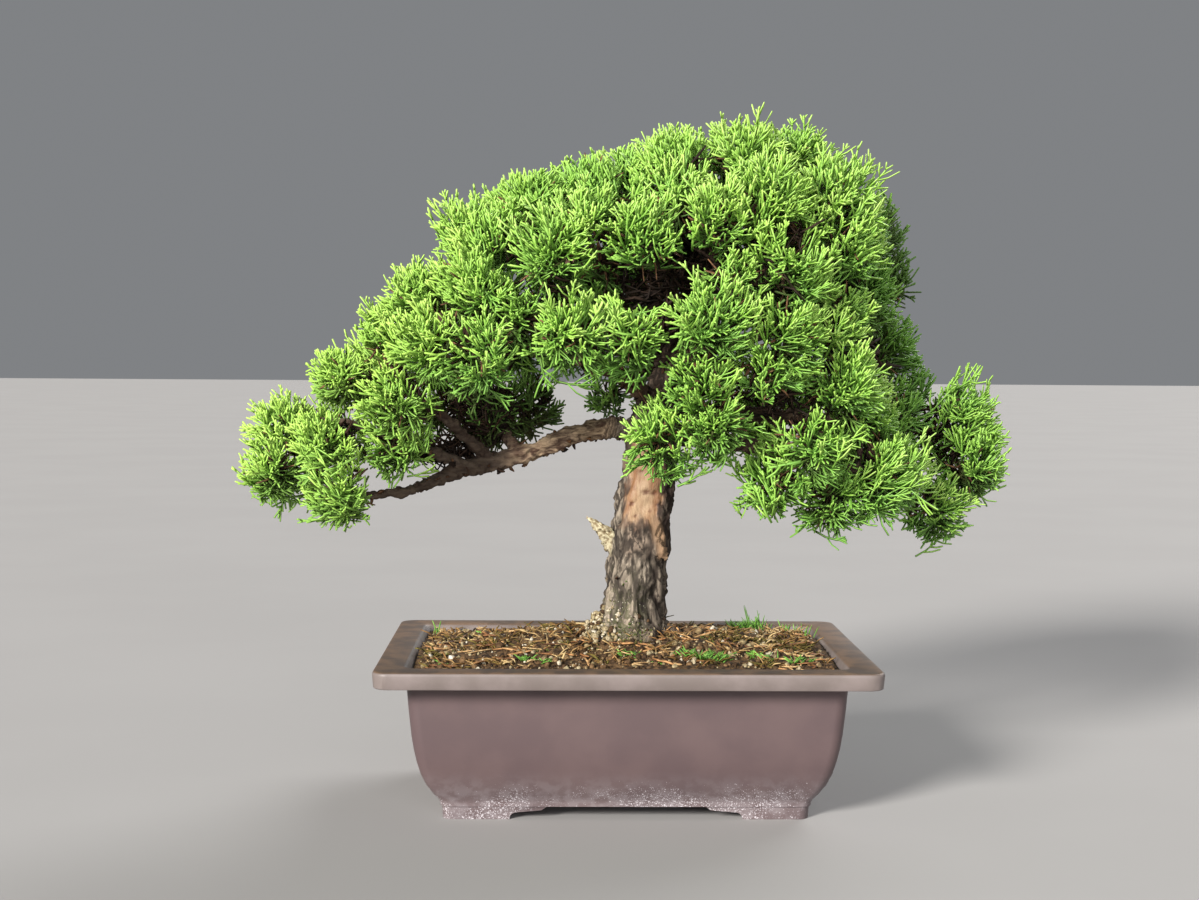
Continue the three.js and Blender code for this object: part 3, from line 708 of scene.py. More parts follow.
def deadWoodMaterial():
    material, tree, place = newMaterial("dead wood", 0.85, 0.2)
    return finish(material, deadWoodColour(tree, place), place, (0.8, 0.7, 0.3))


# Torn fibres around the broken stub on the left.
def makeSplinters(material):
    count = wood["splinters"]
    shake = np.random.default_rng(5)
    root, tip = np.array(wood["splinterRoot"], float), np.array(wood["jinTip"], float)
    start = shake.uniform(0.02, 0.45, (count, 1))
    end = np.clip(start + shake.uniform(0.3, 0.62, (count, 1)), 0, 1.04)
    offset = shake.normal(0, 1.5, (count, 3)) * [0.6, 1, 0.8]
    rings = []
    for share in np.linspace(0, 1, 5):
        at = start + (end - start) * share
        stray = shake.normal(0, 0.28, (count, 3))
        rings.append(root + (tip - root) * at + offset * (1 - 0.75 * at) + stray)
    radii = np.outer(shake.uniform(*wood["splinterRadius"], count), [0.7, 1.0, 0.85, 0.6, 0.2])
    return makeRods("stub_splinters", np.stack(rings, axis=1), radii, material, "bark", sides=5)


# Loose flakes and short spurs of bark, most of them under the limbs.
def makeFlakes(material):
    shake = np.random.default_rng(8)
    found = []
    for piece in (trunk, branches):
        points, normals = readPoints(piece.data), readArray(piece.data.vertex_normals, "vector")
        limb = readArray(piece.data.attributes["limb"].data, "value", 1)
        share = np.where(limb > 0.5, 0.25 + 0.75 * smoothStep(0.4, -0.6, normals[:, 2]), 0.07)
        share *= points[:, 2] < wood["flakesBelow"]
        chosen = shake.choice(len(points), wood["flakes"] // 2, replace=False, p=share / share.sum())
        found.append(np.hstack([points[chosen], normals[chosen]]))
    found = np.concatenate(found)
    foot, way, count = found[:, :3], found[:, 3:], len(found)
    way = unit(way + shake.normal(0, 0.45, (count, 3)))
    side = unit(np.cross(way, shake.normal(0, 1, (count, 3))))
    span = shake.uniform(*wood["flakeLength"], (count, 1)) * shake.uniform(0.5, 1, (count, 1))
    lines = np.stack([foot - 0.8 * way, foot + way * span * 0.4 + side * span * 0.2,
                      foot + way * span * 0.7 + side * span * 0.7], axis=1)
    radii = np.outer(shake.uniform(*wood["flakeRadius"], count), [1.2, 1.0, 0.5])
    return makeRods("bark_flakes", lines, radii, material, "bark", shake.uniform(0, 0.9, count))


bark = barkMaterial()
trunk = barkWood(cutWood("trunk_bark", wood["trunkFrom"], wood["split"], wood["fineStep"]), bark)
upper = cutWood("branch_bark", wood["split"] - wood["overlap"], wood["top"], wood["coarseStep"])
branches = barkWood(upper, bark)
makeSplinters(deadWoodMaterial())
print("wood made")

soil = {
    "halfLength": 119.8, "halfDepth": 82.3, "step": 2.5, "under": 74,
    "clod": 1.5, "lift": 0.5,
    # what heaps up on the CAD soil: place, half width, half depth, height
    "mounds": [(-45, 18, 26, 26, 4.5), (-92, 8, 26, 44, 2.4), (96, 22, 26, 40, 2.4), (42, 8, 22, 30, 1.4)],
    "foot": (6, 24, 22),      # the trunk's foot: x, half width, half depth
}
rng = np.random.default_rng(11)


# The height of some pieces' upper surface at each place.
def surfaceOf(*pieces):
    trees = [BVHTree.FromPolygons([v.co for v in p.data.vertices], [f.vertices for f in p.data.polygons])
             for p in pieces]

    def heightAt(x, y):
        start = Vector(toFrame((x, y, 130)))
        hits = [tree.ray_cast(start, Vector((0, 0, -1)))[0] for tree in trees]
        heights = [fromFrame(hit)[2] for hit in hits if hit is not None]
        return max(heights) if heights else soil["under"]

    return lambda spots: np.array([heightAt(x, y) for x, y in spots])


def makeCrust(material):
    halfX, halfY, step = soil["halfLength"], soil["halfDepth"], soil["step"]
    wide, deep = int(2 * halfX / step), int(2 * halfY / step)
    spots = [(x, y) for y in np.linspace(-1, 1, deep) * halfY for x in np.linspace(-1, 1, wide) * halfX]
    ground = surfaceOf(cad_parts["soil"])(np.array(spots) * 0.985)
    points = []
    for (x, y), height in zip(spots, ground):
        p = Vector((x, y, 0))
        lump = noise.fractal(p * 0.16, 0.8, 2.0, 3) + 0.6 * noise.noise(p * 0.55)
        heaped = sum(high * math.exp(-((x - mx) / halfWide) ** 2 - ((y - my) / halfDeep) ** 2)
                     for mx, my, halfWide, halfDeep, high in soil["mounds"])
        points.append((x, y, height + soil["lift"] + soil["clod"] * lump + heaped))
    faces = []
    for a in (j * wide + i for j in range(deep - 1) for i in range(wide - 1)):
        faces += [(a, a + 1, a + wide + 1), (a, a + wide + 1, a + wide)]
    # a skirt down into the soil and a flat underside
    rim = list(range(wide)) + [j * wide + wide - 1 for j in range(1, deep)]
    rim += [(deep - 1) * wide + i for i in range(wide - 2, -1, -1)]
    rim += [j * wide for j in range(deep - 2, 0, -1)]
    start, middle = len(points), len(points) + len(rim)
    points += [(points[k][0], points[k][1], soil["under"]) for k in rim] + [(0, 0, soil["under"])]
    for k in range(len(rim)):
        n = (k + 1) % len(rim)
        here, ahead = start + k, start + n
        faces += [(rim[k], here, ahead), (rim[k], ahead, rim[n]), (here, middle, ahead)]
    return makePiece("soil_crust", np.array(points), faces, material, "soil")


def soilMaterial():
    material, tree, place = newMaterial("soil", 0.95, 0.2)
    ground = blotches(tree, place, 3.0, (104, 80, 54), (44, 33, 24))
    ground = mix(tree, specks(tree, place, 1.6, 0.3), ground, (150, 126, 90))
    return finish(material, ground, place, (1.6, 0.9, 0.9))


earth = soilMaterial()
setMaterial(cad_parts["soil"], earth)
crust = makeCrust(earth)
groundAt = surfaceOf(crust, trunk)


def scatter(count, edge=3.0):
    return np.column_stack([rng.uniform(-1, 1, count) * (soil["halfLength"] - edge),
                            rng.uniform(-1, 1, count) * (soil["halfDepth"] - edge)])


granules = {
    "coarse": 1100, "coarseSize": (1.0, 2.5), "fine": 2000, "fineSize": (0.45, 1.1),
    "heap": (-16, -5, 8), "heaped": 260, "heapHeight": 2.6,     # against the trunk's left foot
    "stuck": 230, "stuckTo": 119, "stuckSize": (0.7, 1.7),      # on the trunk's left flank
    "clearFrom": 112,                                           # none lies higher than this on the trunk
    "roughness": 0.9, "specular": 0.2, "skin": (0.8, 0.6, 0.3),
    "tones": [(0.0, (44, 33, 24)), (0.34, (92, 70, 48)), (0.6, (132, 104, 72)),
              (0.76, (146, 132, 98)), (0.92, (178, 164, 134)), (1.0, (212, 206, 190))],
    "worn": (1.2, (255, 255, 255), (150, 140, 130), 0.8),
}


# A rough ball as points and triangles: 20 faces when round, 8 when plain.
def ballShape(isRound):
    mesh = bmesh.new()
    bmesh.ops.create_icosphere(mesh, subdivisions=1, radius=1)
    if not isRound:
        bmesh.ops.delete(mesh, geom=mesh.verts[:], context="VERTS")
        bmesh.ops.create_uvsphere(mesh, u_segments=4, v_segments=2, radius=1)
    points = np.array([v.co for v in mesh.verts])
    triangles = np.array([[v.index for v in f.verts] for f in mesh.faces])
    mesh.free()
    return points, triangles


def grains(places, size, tone, isRound):
    ball, faces = ballShape(isRound)
    count = len(places)
    shapes = ball[None] * (1 + rng.uniform(-0.28, 0.28, (count, len(ball), 1)))
    shapes *= size[:, None, None] * rng.uniform(0.7, 1.2, (count, 1, 3))
    triangles = faces[None] + len(ball) * np.arange(count)[:, None, None]
    return [(shapes + places[:, None]).reshape(-1, 3), triangles.reshape(-1, 3), np.repeat(tone, len(ball))]


def makeGranules(material):
    parts = []
    heapX, heapY, wide = granules["heap"]
    heap = rng.normal((heapX, heapY), (wide * 0.5, wide), (granules["heaped"], 2))
    for spots, (low, high), lift, isRound in (
            (scatter(granules["coarse"]), granules["coarseSize"], 0, True),
            (scatter(granules["fine"]), granules["fineSize"], 0, False),
            (heap, granules["coarseSize"], granules["heapHeight"], True)):
        size = low + (high - low) * rng.random(len(spots)) ** 2.0
        heights = groundAt(spots)
        places = np.column_stack([spots, heights + 0.25 * size + rng.uniform(0, lift, len(spots))])
        keep = heights < granules["clearFrom"]
        tone = rng.random(len(spots))
        if lift:  # the heap is paler
            tone = np.where(tone < 0.3, tone, 0.62 + 0.38 * tone)
        parts.append(grains(places[keep], size[keep], tone[keep], isRound))
    flank, top = readPoints(trunk.data), granules["stuckTo"]
    flank = flank[(flank[:, 0] < trunkMiddle(flank[:, 2]) - 9) & (flank[:, 2] < top) & (flank[:, 1] < 12)]
    flank = flank[rng.random(len(flank)) < smoothStep(top + 2, 92, flank[:, 2])]
    chosen = flank[rng.integers(0, len(flank), granules["stuck"])]
    size = rng.uniform(*granules["stuckSize"], len(chosen))
    parts.append(grains(chosen, size, rng.uniform(0.72, 1.0, len(chosen)), True))
    points, triangles, tone = merged(parts)
    return makePiece("soil_granules", points, triangles, material, "soil", tone=tone)


deadNeedles = {
    "number": 200, "length": (6, 18), "radius": (0.4, 0.75), "reach": (117, 79), "bend": 0.12, "tilt": 0.10,
    "height": (0.6, 1.8),
    "roughness": 0.6, "specular": 0.3, "skin": (0.5, 0.5, 0.15),
    "tones": [(0.0, (104, 70, 46)), (0.35, (160, 114, 72)), (0.65, (196, 150, 100)),
              (1.0, (220, 190, 138))],
    "worn": (2.5, (246, 244, 242), (150, 134, 120), 0.8),
}


# Dead needles lie on the soil, each a little bent and tilted.
def makeDeadNeedles(material):
    count, reach = deadNeedles["number"], np.array(deadNeedles["reach"])
    spots = scatter(count, 5)
    length = rng.uniform(*deadNeedles["length"], count)
    heading = rng.uniform(0, 2 * np.pi, count)
    along = np.column_stack([np.cos(heading), np.sin(heading)])
    sideways = np.column_stack([-along[:, 1], along[:, 0]]) * rng.normal(0, deadNeedles["bend"], (count, 1))
    shares = np.linspace(-0.5, 0.5, 5)
    lines = np.empty((count, 5, 3))
    for k, share in enumerate(shares):
        flat = spots + (along * share + sideways * (share * share - 0.1) * 4) * length[:, None]
        flat = np.clip(flat, -reach, reach)
        lines[:, k] = np.column_stack([flat, groundAt(flat)])
    lines[:, :, 2] = lines[:, :, 2].mean(axis=1)[:, None] * 0.5 + lines[:, :, 2] * 0.5
    tilt = rng.normal(0, deadNeedles["tilt"], count) * length
    lines[:, :, 2] += shares * tilt[:, None] + rng.uniform(*deadNeedles["height"], count)[:, None]
    footX, footWide, _ = soil["foot"]
    lines = lines[np.hypot(spots[:, 0] - footX, spots[:, 1]) > footWide]
    tone = rng.random(len(lines))
    radii = np.outer(rng.uniform(*deadNeedles["radius"], len(lines)), [0.7, 1, 1, 0.9, 0.5])
    return makeRods("dead_needles", lines, radii, material, "soil", tone, 4)


dryMoss = {
    "clumps": 110, "strands": 14, "length": (3.0, 7.5), "radius": (0.38, 0.7), "reach": (115, 78),
    # more of it lies here: middle, half sizes, and the clumps' number as a share of the rest
    "heaps": [((-48, 12), (26, 24), 1 / 4), ((88, 8), (18, 30), 1 / 5)],
    "roughness": 0.85, "specular": 0.2, "skin": (0.6, 0.4, 0.15),
    "tones": [(0.0, (60, 44, 26)), (0.25, (112, 104, 50)), (0.45, (132, 96, 56)),
              (0.7, (176, 146, 98)), (1.0, (216, 194, 144))],
    "worn": (3.0, (240, 238, 236), (150, 132, 114), 0.8),
}


# Dry moss and litter: short curled strands in clumps that stand a little off the soil.
def makeDryMoss(material):
    count, strands, reach = dryMoss["clumps"], dryMoss["strands"], np.array(dryMoss["reach"])
    spots = [scatter(count, 7)]
    for middle, wide, share in dryMoss["heaps"]:
        spots.append(rng.normal(middle, wide, (int(count * share), 2)))
    spots = np.concatenate(spots)
    footX, footWide, footDeep = soil["foot"]
    spots = spots[np.hypot((spots[:, 0] - footX) / footWide, spots[:, 1] / footDeep) > 1]
    dryness = rng.random(len(spots))
    foot = np.repeat(spots, strands, axis=0) + rng.normal(0, 3.6, (len(spots) * strands, 2))
    foot = np.clip(foot, -reach, reach)
    count = len(foot)
    tone = np.clip(np.repeat(dryness, strands) * 0.75 + rng.uniform(0, 0.3, count), 0, 1)
    foot = np.column_stack([foot, groundAt(foot) - 0.4])
    heading = rng.uniform(0, 2 * np.pi, count)
    way = np.column_stack([np.cos(heading), np.sin(heading), rng.uniform(0.15, 1.25, count)])
    side = np.column_stack([-way[:, 1], way[:, 0], np.zeros(count)]) * rng.normal(0, 0.5, (count, 1))
    span = rng.uniform(*dryMoss["length"], (count, 1))
    lines = np.stack([foot + span * (way * s + side * s * s - np.array([0, 0, 0.45]) * s * s)
                      for s in (0, 0.5, 1)], axis=1)
    radii = np.outer(rng.uniform(*dryMoss["radius"], count), [0.8, 1, 0.6])
    return makeRods("dry_moss", lines, radii, material, "soil", tone)


smallPlants = {
    # place on the soil, number of leaves, leaf length, how upright the leaves stand
    "weeds": [
        (-56, -54, 22, 8.0, 1.0), (-47, -60, 14, 7.0, 0.8), (-2, -50, 14, 7.0, 0.9), (5, -55, 9, 6.0, 0.9),
        (34, -54, 20, 8.0, 1.0), (42, -57, 26, 9.0, 1.1), (50, -60, 26, 9.0, 1.0), (57, -53, 16, 8.0, 0.9),
        (74, -50, 22, 8.5, 1.0), (82, -54, 18, 8.0, 1.0), (96, -58, 20, 8.0, 0.9), (103, -54, 12, 7.0, 0.9),
        (-104, -52, 8, 5.0, 0.5), (18, -66, 8, 4.5, 0.5), (-30, 52, 14, 6.5, 0.5), (-84, 40, 12, 6.0, 0.6),
        (79, 62, 30, 11.0, 1.8), (87, 58, 24, 13.0, 2.2), (72, 66, 20, 10.0, 1.6), (-116, 62, 5, 12.0, 3.0),
        (106, 63, 7, 11.0, 2.6), (112, 66, 5, 10.0, 2.6), (114, 34, 6, 11.0, 3.0), (84, 64, 3, 24.0, 4.0)],
    "weedRadius": 0.46, "weedTone": 0.86,
    "mossTufts": 12, "collarTufts": 26, "mossBlades": 16, "mossLength": 2.6, "mossRadius": 0.34,
    "mossTone": (0.1, 0.55),
    "roughness": 0.55, "specular": 0.3, "skin": (0.6, 0.3, 0.1),
    "tones": [(0.0, (74, 64, 34)), (0.3, (92, 92, 40)), (0.6, (86, 122, 44)),
              (0.85, (108, 160, 66)), (1.0, (150, 192, 96))],
    "worn": (4.0, (255, 255, 255), (190, 196, 160), 0.7),
}


# Blades that stand up from one spot and droop: lines, radii and tones.
def growBlades(x, y, leaves, length, upright, wide, thick, tone):
    heading = rng.uniform(0, 2 * np.pi, leaves)
    rise = upright * rng.uniform(0.6, 1.4, leaves)
    aim = unit(np.column_stack([np.cos(heading), np.sin(heading), rise]))
    foot = np.column_stack([x + rng.normal(0, wide, leaves), y + rng.normal(0, wide, leaves)])
    foot = np.column_stack([foot, groundAt(foot) - 0.5])
    reach = (length * rng.uniform(0.6, 1.15, leaves))[:, None]
    droop = np.array([0, 0, -0.10])
    shares = (0, 0.4, 0.75, 1)
    lines = np.stack([foot + aim * reach * s + droop * reach * s * s * 2 for s in shares], axis=1)
    radii = np.outer(thick * rng.uniform(0.8, 1.2, leaves), [0.6, 1, 0.8, 0.25])
    return lines, radii, np.outer(np.clip(tone + rng.normal(0, 0.06, leaves), 0, 1), [0.8, 0.95, 1, 1])


def makeSmallPlants(material):
    blades = []
    for x, y, leaves, length, upright in smallPlants["weeds"]:
        blades.append(growBlades(x, y, leaves, length, upright, 0.8 + 0.12 * length,
                                 smallPlants["weedRadius"], smallPlants["weedTone"]))
    # moss: low, dense and duller, along the walls and about the trunk's foot
    spots = scatter(smallPlants["mossTufts"], 6)
    angles = rng.uniform(0, 2 * np.pi, smallPlants["collarTufts"])
    footX, footWide, footDeep = soil["foot"]
    collar = np.column_stack([footX + footWide * np.cos(angles), footDeep * np.sin(angles)])
    for x, y in np.concatenate([spots, collar]):
        blades.append(growBlades(x, y, smallPlants["mossBlades"], smallPlants["mossLength"], 1.3, 3.4,
                                 smallPlants["mossRadius"], rng.uniform(*smallPlants["mossTone"])))
    lines, radii, tones = (np.concatenate(values) for values in zip(*blades))
    return makeRods("moss_and_weeds", lines, radii, material, "foliage", tones)


makeGranules(tonedMaterial("soil granules", granules))
makeDeadNeedles(tonedMaterial("dead needles", deadNeedles))
makeDryMoss(tonedMaterial("dry moss", dryMoss))
makeSmallPlants(tonedMaterial("moss and weeds", smallPlants))
print("soil made")

foliage = {
    "heartShare": 0.55,       # the CAD heart's radius as a share of the tuft's
    "largestHeart": 16,
    "tipsOnOne": 9,           # a spray with more CAD shoots than this has two tufts
    "tipAngle": 1.3,          # corners narrower than this, in radians, are the CAD shoots' tips
    "crownMiddle": (20, 5, 255),
    "candidates": (117, 24),  # shoots tried on a tuft of this radius
    "hidden": (0.8, 0.97),    # no shoots deeper than this within a tuft of the same spray, or of another
    "facing": 0.85,           # shoots that aim nearer to another tuft's middle than this face it
    "inwardKept": 0.34, "undersideFrom": -0.45, "undersideKept": 0.75,
    "merge": 1.3,             # how far the tufts of a spray run into one pad: lower is further
    "padEdge": 1.15,          # thickness at which a pad's surface lies
    "reach": (0.74, 1.08), "reachLeast": 0.8, "reachMost": 1.4,
    "vigour": (0.92, 1.06),   # some tufts grow longer than others
    "shorter": {"upper_left_top": 0.74, "top_ridge": 0.84, "upper_hollow": 0.84, "left_rise": 0.86,
                "left_shoulder": 0.86, "left_front": 0.88, "right_rear_wall": 0.9, "upper_left_end": 0.9,
                "left_tip": 0.93, "crown_left": 0.93, "crown_ridge": 0.92},
    # dark pockets between the pads: middle and half sizes
    "hollows": [(10, -90, 299, 23, 46, 12), (40, -95, 313, 11, 34, 6), (92, -95, 328, 9, 26, 10),
                (-41, -95, 298, 7, 24, 6), (38, -52, 373, 8, 20, 6), (86, -100, 233, 14, 30, 10),
                (84, -105, 296, 8, 20, 6)],
    "stem": 0.70, "sideStem": 0.63, "thickness": (0.85, 1.15),
    # forks of a shoot: from and to along it, length as a share of the tuft's radius, bent or straight
    "forks": [(0.20, 0.42, 0.50, True), (0.34, 0.56, 0.46, True), (0.50, 0.70, 0.38, True),
              (0.64, 0.82, 0.28, False), (0.80, 0.92, 0.19, False), (0.86, 0.97, 0.15, False)],
    "forkAngle": 0.64, "forkSpread": (0.7, 1.35), "forkLength": (0.7, 1.25),
    "length": (0.72, 1.08), "sag": 0.09,
    "rise": 0.24, "along": 0.20, "lean": 0.26,     # upwards, away from the crown, and at random
    "drift": 0.7, "driftSize": 34,
    "covered": 0.42, "underneath": 0.16,           # painted shade: how much darker and less yellow shoots are under other foliage and on a tuft's underside
    "twigs": 9,
    # painted shade: the sprays turned away from the light get darker, less yellow shoots; lower is darker
    "paintedShade": {"right_rear_wall": 0.34, "right_far_back": 0.55, "right_inner": 0.6, "back_right_end": 0.6,
             "right_throat": 0.6, "left_back_inner": 0.34, "back_left_inner": 0.5, "left_throat": 0.5,
             "back_small": 0.7, "right_far": 0.85},
    "tones": [(0.0, (74, 52, 34)), (0.2, (66, 80, 28)), (0.42, (108, 152, 58)),
              (0.70, (136, 178, 72)), (0.88, (148, 188, 76)), (1.0, (170, 202, 98))],
    # the cool tint, and painted light on the left end: its tint, share, and the x over which it comes in
    "coolTint": (98, 160, 84), "paintedLightTint": (182, 210, 96), "paintedLight": 0.34, "paintedLightFrom": (-60.0, -150.0),
}


# Centre and radius of the ball that best fits most of the points.
def fitBall(points):
    centre = points.mean(axis=0)
    for tolerance in (0.5, 0.35, 0.25, 0.2, 0.2):
        distance = np.linalg.norm(points - centre, axis=1)
        radius = np.median(distance)
        used = points[np.abs(distance - radius) < tolerance * radius]
        system = np.column_stack([2 * used, np.ones(len(used))])
        solved = np.linalg.lstsq(system, (used ** 2).sum(axis=1), rcond=None)[0]
        centre = 0.5 * (centre + solved[:3])
    return centre, min(radius, foliage["largestHeart"]) / foliage["heartShare"]


# The one or two tufts of a CAD spray, and the tips of its shoots.
def readSpray(name):
    points, triangles = readNode(name)
    corners = points[triangles]
    angle = np.zeros(len(points))
    for k in range(3):
        a = unit(corners[:, (k + 1) % 3] - corners[:, k])
        b = unit(corners[:, (k + 2) % 3] - corners[:, k])
        np.add.at(angle, triangles[:, k], np.arccos(np.clip((a * b).sum(axis=1), -1, 1)))
    isTip = angle < foliage["tipAngle"]
    tips, body = points[isTip], points[~isTip]
    if len(tips) <= foliage["tipsOnOne"]:
        return [fitBall(body)], tips
    axis = np.linalg.svd(body - body.mean(axis=0))[2][0]
    half = (body - body.mean(axis=0)) @ axis > 0
    for _ in range(8):
        ends = np.array([body[~half].mean(axis=0), body[half].mean(axis=0)])
        half = np.linalg.norm(body - ends[1], axis=1) < np.linalg.norm(body - ends[0], axis=1)
    return [fitBall(body[~half]), fitBall(body[half])], tips


sprays = {name: readSpray(name) for name in sorted(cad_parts) if name.startswith("spray_")}
allTufts = [tuft for tufts, _ in sprays.values() for tuft in tufts]
tuftCentres = np.array([centre for centre, _ in allTufts])
tuftRadii = np.array([radius for _, radius in allTufts])
tuftOwners = np.array([name for name, (tufts, _) in sprays.items() for _ in tufts])
crownMiddle = np.array(foliage["crownMiddle"])
rng = np.random.default_rng(23)
print(len(sprays), "sprays with", len(allTufts), "tufts read")


# Directions spread evenly over a ball by the golden angle, then shaken.
def ballDirections(count, shake):
    goldenAngle = 2.39996
    k = np.arange(count) + 0.5
    z = 1 - 2 * k / count
    flat = np.sqrt(1 - z * z)
    turned = np.column_stack([flat * np.cos(k * goldenAngle), flat * np.sin(k * goldenAngle), z])
    return unit(turned + rng.normal(0, shake, turned.shape))


# The directions in which a tuft's shoots are seen, fewer where they face other tufts.
def openDirections(centre, radius, own, others):
    candidates, usualRadius = foliage["candidates"]
    wanted = int(candidates * (radius / usualRadius) ** 2)
    directions = ballDirections(wanted, 0.10)
    shell = centre + directions * radius
    free = np.ones(wanted, bool)
    for tufts, deepest in zip((own, others), foliage["hidden"]):
        between = tuftCentres[tufts][None] - shell[:, None]
        distance = np.linalg.norm(between, axis=2)
        free &= (distance / tuftRadii[tufts] > deepest).all(axis=1)
    ahead = (between * directions[:, None]).sum(axis=2)
    missed = np.sqrt(np.maximum(distance ** 2 - ahead ** 2, 0))
    blocked = ((ahead > 0) & (missed < foliage["facing"] * tuftRadii[others])).any(axis=1)
    under = directions @ openingWay(centre) < foliage["undersideFrom"]
    kept = free & (~blocked | (rng.random(wanted) < foliage["inwardKept"]))
    kept &= ~under | (rng.random(wanted) < foliage["undersideKept"])
    return directions[kept]


# How thick the foliage of some tufts is at each point.
def thickness(points, tufts):
    apart = np.linalg.norm(points[..., None, :] - tuftCentres[tufts], axis=-1) / tuftRadii[tufts]
    return np.exp(foliage["merge"] * (1 - apart ** 2)).sum(axis=-1)


# How far out a spray's common surface lies along each direction: it bridges the dip between its tufts.
def surfaceReach(centre, radius, directions, spray):
    shares = np.linspace(foliage["reachLeast"], foliage["reachMost"], 16)
    points = centre + directions[:, None] * (shares * radius)[None, :, None]
    outside = thickness(points, spray) < foliage["padEdge"]
    outside[:, -1] = True
    return shares[outside.argmax(axis=1)]


# True for the points that lie in one of the dark pockets.
def inHollow(points, share=1.0):
    inside = np.zeros(points.shape[:-1], bool)
    for x, y, z, wide, deep, tall in foliage["hollows"]:
        inside |= np.linalg.norm((points - [x, y, z]) / [wide, deep, tall], axis=-1) < share
    return inside


# A tuft opens outwards from the crown and up to the light.
def openingWay(centre):
    return unit(unit(centre - crownMiddle) * 0.75 + np.array([0, 0, 0.6]))


# Rods of foliage with what their material reads; none runs through a dark pocket.
def shootPart(lines, radii, age, tone):
    clear = ~inHollow(lines, 0.88).any(axis=1)
    points, triangles = tubes(lines[clear], radii[clear])
    tones = perRod(tone[clear], lines.shape[1])
    return points, triangles, perPoint(age[clear]), tones, np.zeros(len(points))


# Shoots: bent stems that spring from one stalk, with forks to both sides, all blunt and nearly as thick.
def growShoots(centre, radius, directions, reach, paintedLitShare=1.0):
    count = len(directions)
    lift = np.array([0, 0, foliage["rise"]]) + foliage["along"] * openingWay(centre)
    tip = centre + directions * (radius * reach)[:, None]
    drift = np.array([noise.noise_vector(Vector(p) / foliage["driftSize"]) for p in tip])
    aim = unit(directions + lift + foliage["drift"] * drift + rng.normal(0, foliage["lean"], (count, 3)))
    length = radius * rng.uniform(*foliage["length"], (count, 1))
    root = tip - aim * length
    belly = root + aim * length * 0.52 + rng.normal(0, 0.05, (count, 3)) * length
    belly[:, 2] -= foliage["sag"] * length[:, 0]

    def bend(share):
        return (1 - share) ** 2 * root + 2 * share * (1 - share) * belly + share * share * tip

    shares = np.array([0, 0.36, 0.7, 1])
    stems = np.stack([bend(share) for share in shares], axis=1)
    thick = foliage["stem"] * rng.uniform(*foliage["thickness"], count)
    tone = rng.uniform(0, 1, count)
    # tips with foliage above them, and shoots on a tuft's underside, take less of the tone ramp: partly the
    # paler growth of sunlit tips, partly painted shade
    near = np.linalg.norm(tuftCentres - centre, axis=1) < 4 * radius
    covered = smoothStep(0.4, 2.2, thickness(tip + [0, 0, 0.75 * radius], near))
    sun = 1 - foliage["covered"] * covered * smoothStep(0.9, -0.3, aim[:, 2])
    sun = paintedLitShare * (sun - foliage["underneath"] * smoothStep(0.1, -0.6, directions[:, 2]))[:, None]
    far = np.clip(np.linalg.norm(stems - centre, axis=2) / radius, 0, 1)
    age = np.clip(0.55 * far + 0.45 * shares, 0, 1) * 0.92 * sun
    parts = [shootPart(stems, np.outer(thick, [1.05, 1.0, 0.96, 0.9]), age, tone)]
    facing = unit(np.cross(aim, rng.normal(0, 1, (count, 3))))
    for k, (low, high, longest, bent) in enumerate(foliage["forks"]):
        share = rng.uniform(low, high, (count, 1))
        foot = bend(share)
        ahead = unit(bend(share + 0.04) - foot)
        side = unit(facing * (1 if k % 2 else -1) + rng.normal(0, 0.45, (count, 3)))
        angle = foliage["forkAngle"] * rng.uniform(*foliage["forkSpread"], (count, 1))
        out = unit(ahead * np.cos(angle) + side * np.sin(angle))
        size = radius * longest * rng.uniform(*foliage["forkLength"], (count, 1))
        knee = foot + out * size * 0.5
        end = knee + unit(out + ahead * 0.4 + lift * 0.5) * size * 0.5
        rings = [foot, knee, end] if bent else [foot, end]
        thick = foliage["sideStem"] * rng.uniform(*foliage["thickness"], count)
        far = np.stack([np.linalg.norm(p - centre, axis=1) / radius for p in rings], axis=1)
        age = np.clip(far * 0.86 + np.linspace(0, 0.16, len(rings)), 0, 1) * sun
        widths = np.outer(thick, np.linspace(1, 0.88, len(rings)))
        parts.append(shootPart(np.stack(rings, axis=1), widths, age, tone))
    return merged(parts)


# Bare twigs out of a tuft's middle.
def growTwigs(centre, radius):
    count = foliage["twigs"]
    aim = unit(rng.normal(0, 1, (count, 3)))
    lines = np.stack([centre + aim * radius * s for s in (0.1, 0.5, 0.8)], axis=1)
    lines += rng.normal(0, 0.05 * radius, lines.shape)
    points, triangles = tubes(lines, np.full((count, 3), 0.9) * [1, 0.75, 0.45])
    woody = np.ones(len(points))
    return [points, triangles, woody * 0, woody * rng.random(), woody]


